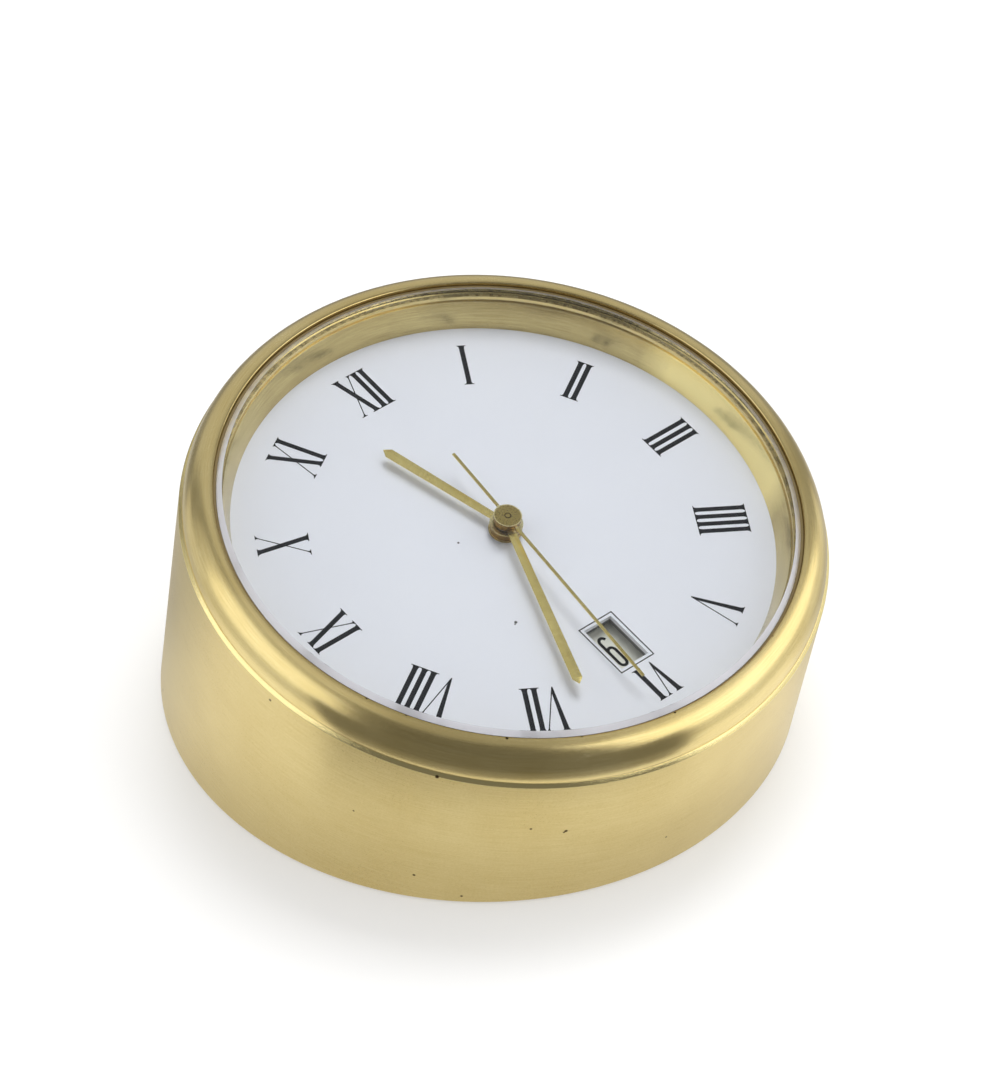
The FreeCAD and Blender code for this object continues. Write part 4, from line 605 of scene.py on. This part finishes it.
def lacquer():
    """White lacquer: a faint orange peel, a hint of cloud and a few dark specks at set places."""
    finish = Finish("white_lacquer")
    x, y, level = finish.case_axes()
    here = finish.vector(x, y, level)
    peel = finish.noise(here, 0.9, detail=2.0)
    cloud = finish.noise(here, 0.05, detail=2.0)
    colour = finish.mix(cloud.above(0.5, 0.6), shade(238, 240, 251), shade(242, 244, 254))
    for speck_x, speck_y, size in specks:
        away = (x - speck_x) * (x - speck_x) + (y - speck_y) * (y - speck_y)
        colour = finish.mix(away.math("SQRT").below(size, 0.1), colour, shade(52, 50, 52))
    return finish.surface(
        Base_Color=colour,
        Roughness=0.42 + (peel - 0.5) * 0.1,
        Specular_IOR_Level=0.4,
        Normal=finish.bump(peel, 0.004 * mm),
    )


dress(lacquer(), "dial_plate")
dial_face = level_of("dial_plate", 1)
ink_height = 0.015
numeral_foot = 27.2
numeral_top = 34.6
six_foot = 28.7
thick = 0.72
hairline = 0.16
serif = 0.36
serif_height = 0.13
bracket = 0.55
bracket_reach = 0.45


def ink_strip(centre, half_left, half_right, radius):
    """A closed strip of ink: at each radius four points, left and right edge, above and below.
    centre, half_left and half_right are arrays along the stroke."""
    left, right = centre - half_left, centre + half_right
    low, high = np.full_like(radius, dial_face), np.full_like(radius, dial_face + ink_height)
    loop = [(left, low), (right, low), (right, high), (left, high)]
    strip = np.stack([np.stack([x, radius, z], -1) for x, z in loop], axis=1)
    middle_first = strip[:1].mean(1, keepdims=True).repeat(4, 1)
    middle_last = strip[-1:].mean(1, keepdims=True).repeat(4, 1)
    return np.concatenate([middle_first, strip, middle_last])


def stroke(top, foot, weight, low=numeral_foot, foot_serif=True):
    """A stroke of a Roman letter from `foot` to `top`, sheared, with a thin serif at each end
    that joins it by a small bracket: its half width grows as the cube of the nearness."""
    near_end = np.concatenate([[0, serif_height], serif_height + np.linspace(0.001, bracket, 7)])
    radius = np.concatenate([low + near_end, (numeral_top - near_end)[::-1]])
    centre = np.interp(radius, [low, numeral_top], [foot, top])

    def flare(distance):
        slab = (distance <= serif_height) * serif
        curve = np.clip(1 - (distance - serif_height) / bracket, 0, 1) ** 3 * serif * bracket_reach
        return np.maximum(slab, curve)

    spread = flare(numeral_top - radius)
    if foot_serif:
        spread = spread + flare(radius - low)
    return ink_strip(centre, weight / 2 + spread, weight / 2 + spread, radius)


def upright(*places):
    return [stroke(x, x, thick) for x in places]


def vee(thick_top, point, hair_top, low=numeral_foot):
    """A thick and a hair stroke that meet in a point: the thick one is cut by the far edge of
    the hair stroke, whose own edge ends where the thick one's near edge does."""
    hair_foot = point - thick / 2 + hairline / 2
    thick_line = stroke(thick_top, point, thick, low, foot_serif=False)
    hair_edge = np.interp(thick_line[..., 1], [low, numeral_top], [hair_foot, hair_top])
    thick_line[..., 0] = np.minimum(thick_line[..., 0], hair_edge + hairline / 2)
    return [thick_line, stroke(hair_top, hair_foot, hairline, low, foot_serif=False)]


def cross(thick_top, thick_foot, hair_top, hair_foot):
    return [stroke(thick_top, thick_foot, thick), stroke(hair_top, hair_foot, hairline)]


# Each number is where a stroke's middle crosses the numeral's top or foot, in millimetres from
# the line of the hour.  VI is shorter, because it stands next to the date.
numerals = {
    1: upright(-0.16),
    2: upright(-0.68, 0.56),
    3: upright(-1.28, 0.0, 1.26),
    4: upright(-1.85, -0.55, 0.75, 2.03),
    5: vee(-1.10, 0.02, 1.70),
    6: vee(-1.88, -1.15, -0.13, six_foot) + [stroke(1.03, 1.03, thick, six_foot)],
    7: vee(-2.33, -1.25, 0.20) + upright(1.0, 2.3),
    8: vee(-2.95, -1.92, -0.60) + upright(0.28, 1.57, 2.85),
    9: upright(-1.59) + cross(-0.33, 1.62, 2.05, -0.70),
    10: cross(-1.20, 1.12, 1.50, -1.60),
    11: cross(-1.75, 0.53, 0.80, -2.10) + upright(1.66),
    12: cross(-2.33, -0.44, 0.0, -2.75) + upright(0.85, 2.08),
}


def set_round(grid, angle):
    """Turns a flat shape whose y is the radius clockwise from XII by `angle` degrees."""
    x, radius, level = np.moveaxis(grid, -1, 0)
    sine, cosine = math.sin(math.radians(angle)), math.cos(math.radians(angle))
    return np.stack([x * cosine + radius * sine, radius * cosine - x * sine, level], axis=-1)


def ink(name, colour):
    """Printing ink: slightly uneven black with a soft sheen."""
    finish = Finish(name)
    here = finish.node("ShaderNodeTexCoord", output="Object")
    mottle = finish.noise(here, 3.0 / mm, detail=3.0)
    paler = tuple(min(1.0, c * 1.5 + 0.002) for c in colour[:3]) + (1.0,)
    return finish.surface(
        Base_Color=finish.mix(mottle.above(0.55, 0.4), colour, paler),
        Roughness=0.6 + (mottle - 0.5) * 0.2,
        Specular_IOR_Level=0.08,
        Normal=finish.bump(mottle, 0.004 * mm),
    )


def strip_piece(name, strips, finish, body):
    """One object from strips whose rows are closed loops of four points."""
    return piece(name, [strip.swapaxes(0, 1) for strip in strips], finish, body, sharp=30.0)


dial_ink = ink("dial_ink", shade(17, 18, 25))
frame_half_width = 2.98
frame_inner = 19.05
frame_outer = 28.05
frame_line = 0.17


def bar(x_start, x_end, radius_start, radius_end):
    """A straight bar of ink between two places across and two radii."""
    radius = np.linspace(radius_start, radius_end, 2)
    half = np.full(2, (x_end - x_start) / 2)
    return ink_strip(np.full(2, (x_start + x_end) / 2), half, half, radius)


outside, line = frame_half_width, frame_line
date_frame = [
    bar(-outside, outside, frame_inner, frame_inner + line),
    bar(-outside, outside, frame_outer - line, frame_outer),
    bar(-outside, -outside + line, frame_inner, frame_outer),
    bar(outside - line, outside, frame_inner, frame_outer),
]
printed = [set_round(strip, hour * 30) for hour, glyph in numerals.items() for strip in glyph]
printed += [set_round(strip, 180) for strip in date_frame]
strip_piece("dial_print", printed, dial_ink, "clock")


# Date ring: a white plastic disc behind the dial with the numbers 1 to 31 printed round it,
# each with its top towards the middle.
ring_face = level_of("date_ring", 1)
number_radius = 23.35
number_height = 5.8
digit_width = 1.6
digit_line = 0.45
digit_gap = 0.42
days = 31
shown_day = 6


def bow(x, y, reach_x, reach_y, start, finish, steps=14):
    """An arc of an ellipse about (x, y), from one angle to the other in degrees."""
    angle = np.radians(np.linspace(start, finish, steps))
    return np.stack([x + reach_x * np.cos(angle), y + reach_y * np.sin(angle)], -1)


def digit_lines():
    """Centre lines of the ten digits in a tall narrow sans, each a list of lines of points.  They
    are made of arcs `half` wide and `loop` high, about a centre above or below the waist."""
    half = (digit_width - digit_line) / 2
    tall = (number_height - digit_line) / 2
    loop = half * 1.25
    waist = 0.25
    high, low = tall - loop, loop - tall
    narrow = half * 0.92
    stem = half * 0.45
    crossbar = -tall * 0.42

    def arc(centre, start, finish, reach=half):
        return bow(0, centre, reach, loop, start, finish)

    def chain(*parts):
        return np.concatenate([np.atleast_2d(part) for part in parts])

    six = chain(arc(high, 20, 180), arc(low, 180, 360), arc(waist - loop + 0.5, 0, 180))
    lower_bow = chain(arc(waist - loop, 130, 0), arc(low, 0, -160))
    upper_ring = chain(arc(high, 0, 180, narrow), arc(waist + loop, 180, 360, narrow))
    lower_ring = chain(arc(waist - loop, 0, 180), arc(low, 180, 360))
    return {
        "0": [chain(arc(high, 0, 180), arc(low, 180, 360), [half, high])],
        "1": [chain([-half * 0.75, tall - 1.0], [0.15, tall], [0.15, -tall])],
        "2": [chain(arc(high, 165, -20), [-half, -tall]), chain([-half, -tall], [half, -tall])],
        "3": [chain(arc(high, 160, 0), arc(waist + loop, 0, -80)), lower_bow],
        "4": [chain([half, crossbar], [-half, crossbar], [stem, tall], [stem, -tall])],
        "5": [chain([half, tall], [-half, tall], [-half, waist]), chain([-half, waist], lower_bow)],
        "6": [six],
        "7": [chain([-half, tall], [half, tall], [-half * 0.2, -tall])],
        "8": [upper_ring, lower_ring],
        "9": [-six],
    }


shortest_step = 1e-6
longest_corner = 2.0


def pen_line(points, width, base, height):
    """A line of constant width along points: each row is the point plus and minus half the
    width along the normal, lengthened at a corner so that the edges stay parallel."""
    points = points[np.r_[True, np.linalg.norm(np.diff(points, axis=0), axis=1) > shortest_step]]
    steps = np.diff(points, axis=0)
    steps /= np.linalg.norm(steps, axis=1, keepdims=True)
    before = np.concatenate([steps[:1], steps])
    after = np.concatenate([steps, steps[-1:]])
    normals = np.stack([-(before + after)[:, 1], (before + after)[:, 0]], -1)
    normals /= np.linalg.norm(normals, axis=1, keepdims=True)
    square = np.stack([-after[:, 1], after[:, 0]], -1)
    stretch = 1 / np.maximum((normals * square).sum(1), 1 / longest_corner)[:, None]
    left, right = (points + side * normals * stretch * width / 2 for side in (1, -1))
    loop = [(left, base), (right, base), (right, base + height), (left, base + height)]
    strip = np.stack([np.c_[p, np.full(len(p), z)] for p, z in loop], axis=1)
    ends = [strip[i:i + 1].mean(1, keepdims=True).repeat(4, 1) for i in (0, len(strip) - 1)]
    return np.concatenate([ends[0], strip, ends[1]])


def day_strips(day):
    """The ink of one day's number, turned so that its top points to the middle of the ring."""
    text = str(day)
    strips = []
    for place, figure in enumerate(text):
        shift = (place - (len(text) - 1) / 2) * (digit_width + digit_gap)
        for line_points in digits[figure]:
            flat = pen_line(line_points + [shift, 0], digit_line, ring_face, ink_height)
            flat[..., :2] *= -1
            flat[..., 1] += number_radius
            strips.append(set_round(flat, 180 + (day - shown_day) * 360 / days))
    return strips


digits = digit_lines()
day_numbers = [strip for day in range(1, days + 1) for strip in day_strips(day)]
strip_piece("date_numbers", day_numbers, ink("ring_ink", shade(12, 12, 15)), "date_ring")
dress(moulded("ring_white", shade(232, 232, 222), 0.5, grain=0.01, shift=0.03), "date_ring")


# Hands: stamped from brass and polished, each pressed on its own arbor.  Their caps and bosses
# are tarnished, and so are the ends of the arbors; the tarnished rims carry a painted highlight
# and their sides painted shade.
boss_radius = 2.35
# Radius where the painted highlight on the cap's rim begins.
cap_highlight_radius = 1.84
mark_outer = 0.5
mark_inner = 0.32
hand_brass = spun_metal(
    "hand_brass",
    light=shade(240, 224, 152),
    dark=shade(204, 184, 106),
    gloss=0.2,
    anisotropy=0.0,
    sand=0.3,
    # Tarnished middle, with a painted highlight on its rim and painted shade on its sides.
    tarnish_and_painted_light=(boss_radius, cap_highlight_radius, mark_outer, mark_inner),
)
dress(hand_brass, "hour_hand", "minute_hand", "seconds_hand")
dress(hand_brass, "cannon_pinion", "seconds_wheel", "set_arbor")


# Dial carrier: a moulded grey ring that rests on the case's seat and carries the dial and the
# movement.  A guard and a jumper of plated steel keep the date ring in its place.
grey = moulded("plastic_grey", shade(104, 104, 107), 0.55)
steel = spun_metal("plated_steel", shade(206, 206, 204), shade(176, 176, 176), 0.3)
dress(grey, "dial_carrier")
dress(steel, "carrier_screws", "date_ring_guard", "guard_screws", "date_jumper")


# Movement: plates and a housing of black plastic, held by steel screws, with moulded gears of
# ivory plastic that turn between them.
def ease(width, *nodes):
    """Rounds the sharp edges of CAD nodes by `width` millimetres, once their points are joined."""
    for node in nodes:
        part = frame["nodes"][node]
        join = part.modifiers.new("join", "WELD")
        join.merge_threshold = 0.001 * mm
        soft = part.modifiers.new("ease", "BEVEL")
        soft.width = width * mm
        soft.segments = 2
        soft.limit_method = "ANGLE"
        soft.angle_limit = math.radians(40)
        soft.harden_normals = True


moulding_ease = 0.2
screw_ease = 0.1
black = moulded("plastic_black", shade(50, 50, 52), 0.5)
ivory = moulded("gear_ivory", shade(230, 228, 212), 0.38)
dress(black, "front_plate", "train_bridge", "rear_housing")
dress(ivory, "intermediate_wheel", "third_wheel", "centre_wheel", "minute_wheel", "hour_wheel")
dress(ivory, "date_wheel", "rotor")
dress(steel, "bridge_screws", "housing_screws")
ease(moulding_ease, "rear_housing")
ease(screw_ease, "housing_screws")


# Motor and circuit: a soft iron stator and core, with a coil of enamelled copper wire on a
# white bobbin.  The green board carries the timer under black resin, and the quartz in its can.
white = moulded("plastic_white", shade(226, 225, 218), 0.4)
iron = spun_metal("soft_iron", shade(168, 168, 170), shade(132, 132, 136), 0.42)
copper = spun_metal("coil_copper", shade(206, 120, 76), shade(168, 84, 48), 0.35)
green = moulded("board_green", shade(56, 116, 78), 0.4)
resin = moulded("resin_black", shade(26, 26, 27), 0.2, grain=0.01)
dress(iron, "stator_plate", "coil_core")
dress(white, "coil_bobbin")
dress(copper, "coil_winding")
dress(green, "circuit_board")
dress(resin, "timer_chip")
dress(steel, "stator_screws", "quartz_can")


# Battery: one cell in a printed jacket between two plated contacts, under a sliding door of the
# same black plastic as the housing.
jacket = moulded("cell_jacket", shade(74, 92, 108), 0.3)
dress(jacket, "battery_cell")
dress(steel, "contact_positive", "contact_negative")
dress(black, "battery_door")
ease(moulding_ease, "battery_door")


# Back cover: a moulded grey disc round the housing, held by steel screws.  The white knob next
# to the battery sets the hands.
dress(grey, "back_cover")
dress(white, "set_knob")
dress(steel, "back_cover_screws")
ease(moulding_ease, "back_cover")
ease(screw_ease, "set_knob", "back_cover_screws")


# Stage: a white table in a small studio, with a large soft box on the right, a paler one on the
# left, a dark curtain behind the camera, and a grey back wall and ceiling.  Low screens close
# round the clock limit what its brass mirrors.
def soft_rays(finish):
    """1 for rays that gloss or clear glass sends out."""
    gloss = finish.node("ShaderNodeLightPath", output="Is Glossy Ray")
    clear = finish.node("ShaderNodeLightPath", output="Is Transmission Ray")
    return gloss.math("MAXIMUM", clear)


line_of_sight = math.radians(50)
far_blur = 0.03
far_glow = 0.3
far_dimming = 0.65


def table_top(seen_white, mirrored_white):
    """White paper.  The camera sees a share of plain white in it, so that the floor fades out
    and still keeps the shadow; metal and glass see a smaller share, and a dim floor beyond the
    clock, where `beyond` is the distance from the middle along the line of sight."""
    finish = Finish("table_white")
    paper = finish.node("ShaderNodeBsdfDiffuse", {}, {"Color": shade(250, 250, 250)})
    glow = finish.node("ShaderNodeEmission", {}, {"Color": (1, 1, 1, 1), "Strength": 1.0})
    camera_ray = finish.node("ShaderNodeLightPath", output="Is Camera Ray")
    share = camera_ray * seen_white + soft_rays(finish) * mirrored_white
    lit = finish.node("ShaderNodeMixShader", {}, {0: share, 1: paper, 2: glow})
    here = finish.node("ShaderNodeTexCoord", output="Object")
    x, y = (finish.node("ShaderNodeSeparateXYZ", {}, {0: here}, axis) for axis in range(2))
    beyond = x * math.cos(line_of_sight) + y * math.sin(line_of_sight)
    dim = finish.node("ShaderNodeEmission", {}, {"Color": (1, 1, 1, 1), "Strength": far_glow})
    far_share = beyond.above(0.0, far_blur) * soft_rays(finish) * far_dimming
    lit = finish.node("ShaderNodeMixShader", {}, {0: far_share, 1: lit, 2: dim})
    behind = finish.node("ShaderNodeNewGeometry", output="Backfacing")
    through = finish.node("ShaderNodeBsdfTransparent")
    return finish.end(finish.node("ShaderNodeMixShader", {}, {0: behind, 1: lit, 2: through}))


table_half = 3.0
table_mesh = bpy.data.meshes.new("table")
table_corners = [(-1, -1), (1, -1), (1, 1), (-1, 1)]
table_points = [(x * table_half, y * table_half, 0) for x, y in table_corners]
table_mesh.from_pydata(table_points, [], [(0, 1, 2, 3)])
table_mesh.materials.append(table_top(seen_white=0.38, mirrored_white=0.32))
table = bpy.data.objects.new("table", table_mesh)
bpy.context.scene.collection.objects.link(table)

room = Finish("room", bpy.data.worlds)
ambient = room.node("ShaderNodeBackground", {}, {"Color": (1, 1, 1, 1), "Strength": 0.66})
seen = room.node("ShaderNodeBackground", {}, {"Color": (1, 1, 1, 1), "Strength": 1.0})
camera_ray = room.node("ShaderNodeLightPath", output="Is Camera Ray")
seen_share = camera_ray.math("MAXIMUM", soft_rays(room))
room_mix = room.node("ShaderNodeMixShader", {}, {0: seen_share, 1: ambient, 2: seen})
bpy.context.scene.world = room.end(room_mix, "ShaderNodeOutputWorld")


patch_steps = 24
screen_middle = 0.04


def studio_patch(name, turns, heights, brightness, distance=1.5, middle=0.0, lights=False):
    """Part of the studio's walls: the patch of a sphere about a point `middle` above the table,
    between two turns and two heights in degrees.  Its glow is the light that it sends back."""
    steps = patch_steps
    turn, height = np.meshgrid(np.radians(np.linspace(*turns, steps)), np.linspace(*heights, steps))
    height = np.radians(height)
    points = [np.cos(height) * np.cos(turn), np.cos(height) * np.sin(turn), np.sin(height)]
    points = np.stack(points, -1).reshape(-1, 3) * distance + [0, 0, middle]
    mesh = bpy.data.meshes.new(name)
    quads = grid_faces(steps, steps, False).reshape(steps, steps - 1, 4)[:-1].reshape(-1, 4)
    mesh.from_pydata(points, [], quads)
    finish = Finish(name)
    glow = {"Color": (1, 1, 1, 1), "Strength": brightness}
    mesh.materials.append(finish.end(finish.node("ShaderNodeEmission", {}, glow)))
    patch = bpy.data.objects.new(name, mesh)
    patch.visible_camera = False
    patch.visible_diffuse = lights
    patch.visible_shadow = False
    bpy.context.scene.collection.objects.link(patch)


studio_patch("soft_box_right", (-84, -7), (-1, 61), 1.6, lights=True)
studio_patch("soft_box_top", (-62, 14), (50, 64), 1.0, 1.49)
studio_patch("soft_box_left", (128, 188), (-1, 50), 1.3, lights=True)
studio_patch("dark_curtain", (-172, -84), (-1, 68), 0.17, 1.52)
studio_patch("grey_wall", (-7, 128), (-1, 68), 0.58, 1.52)
studio_patch("wall_seam", (98, 112), (-1, 66), 0.24, 1.51)
studio_patch("wall_gap", (-7, 14), (-1, 50), 0.34, 1.51)
studio_patch("ceiling", (0, 360), (60, 90), 0.36, 1.54)
studio_patch("ceiling_glow", (40, 200), (68, 88), 0.72, 1.53)
studio_patch("ceiling_gap", (14, 52), (46, 67), 0.26, 1.5)


def low_screen(name, turns, heights, brightness, distance=0.13):
    """A studio patch that stands close round the clock."""
    studio_patch(name, turns, heights, brightness, distance, screen_middle)


low_screen("low_screen_front", (-172, -84), (-26, 3), 0.19, 0.09)
low_screen("low_screen_foot", (-168, -88), (-29, -19), 0.3, 0.081)
low_screen("low_screen_left", (112, 188), (-18, 1), 0.72)
low_screen("low_screen_right", (-84, -7), (-18, 1), 0.84)
low_screen("low_screen_back", (14, 98), (-18, 2), 0.3)
low_screen("low_screen_gap", (-7, 14), (-18, 2), 0.34, 0.131)
low_screen("low_screen_seam", (98, 112), (-18, 2), 0.26, 0.131)


def lamp_box(name, place, aim, width, height, watts):
    """A rectangular lamp above the stage that faces its aim, and lights without a reflection."""
    lamp = bpy.data.lights.new(name, "AREA")
    lamp.shape = "RECTANGLE"
    lamp.size, lamp.size_y = width, height
    lamp.energy = watts
    made = bpy.data.objects.new(name, lamp)
    made.location = place
    made.rotation_mode = "QUATERNION"
    made.rotation_quaternion = (Vector(aim) - Vector(place)).to_track_quat("-Z", "Y")
    made.visible_camera = False
    made.visible_glossy = False
    made.visible_transmission = False
    bpy.context.scene.collection.objects.link(made)


key_place = (0.46, 0.24, 1.50)
key_aim = (0, 0, 0.03)
lamp_box("key_lamp", key_place, key_aim, width=0.7, height=0.7, watts=13.0)

camera_data = bpy.data.cameras.new("camera")
camera = bpy.data.objects.new("camera", camera_data)
bpy.context.scene.collection.objects.link(camera)
bpy.context.scene.camera = camera
camera_data.sensor_fit = "AUTO"
camera_data.sensor_width = 36.0
camera_data.lens = 144.58
camera_data.clip_start = 0.01
camera_place = Vector((-0.2923, -0.3446, 0.4278))
camera_aim = Vector((0.0027, -0.0018, 0.0250))
camera.location = camera_place
camera.rotation_mode = "QUATERNION"
camera.rotation_quaternion = (camera_aim - camera_place).to_track_quat("-Z", "Y")
bpy.context.scene.view_settings.view_transform = "Standard"
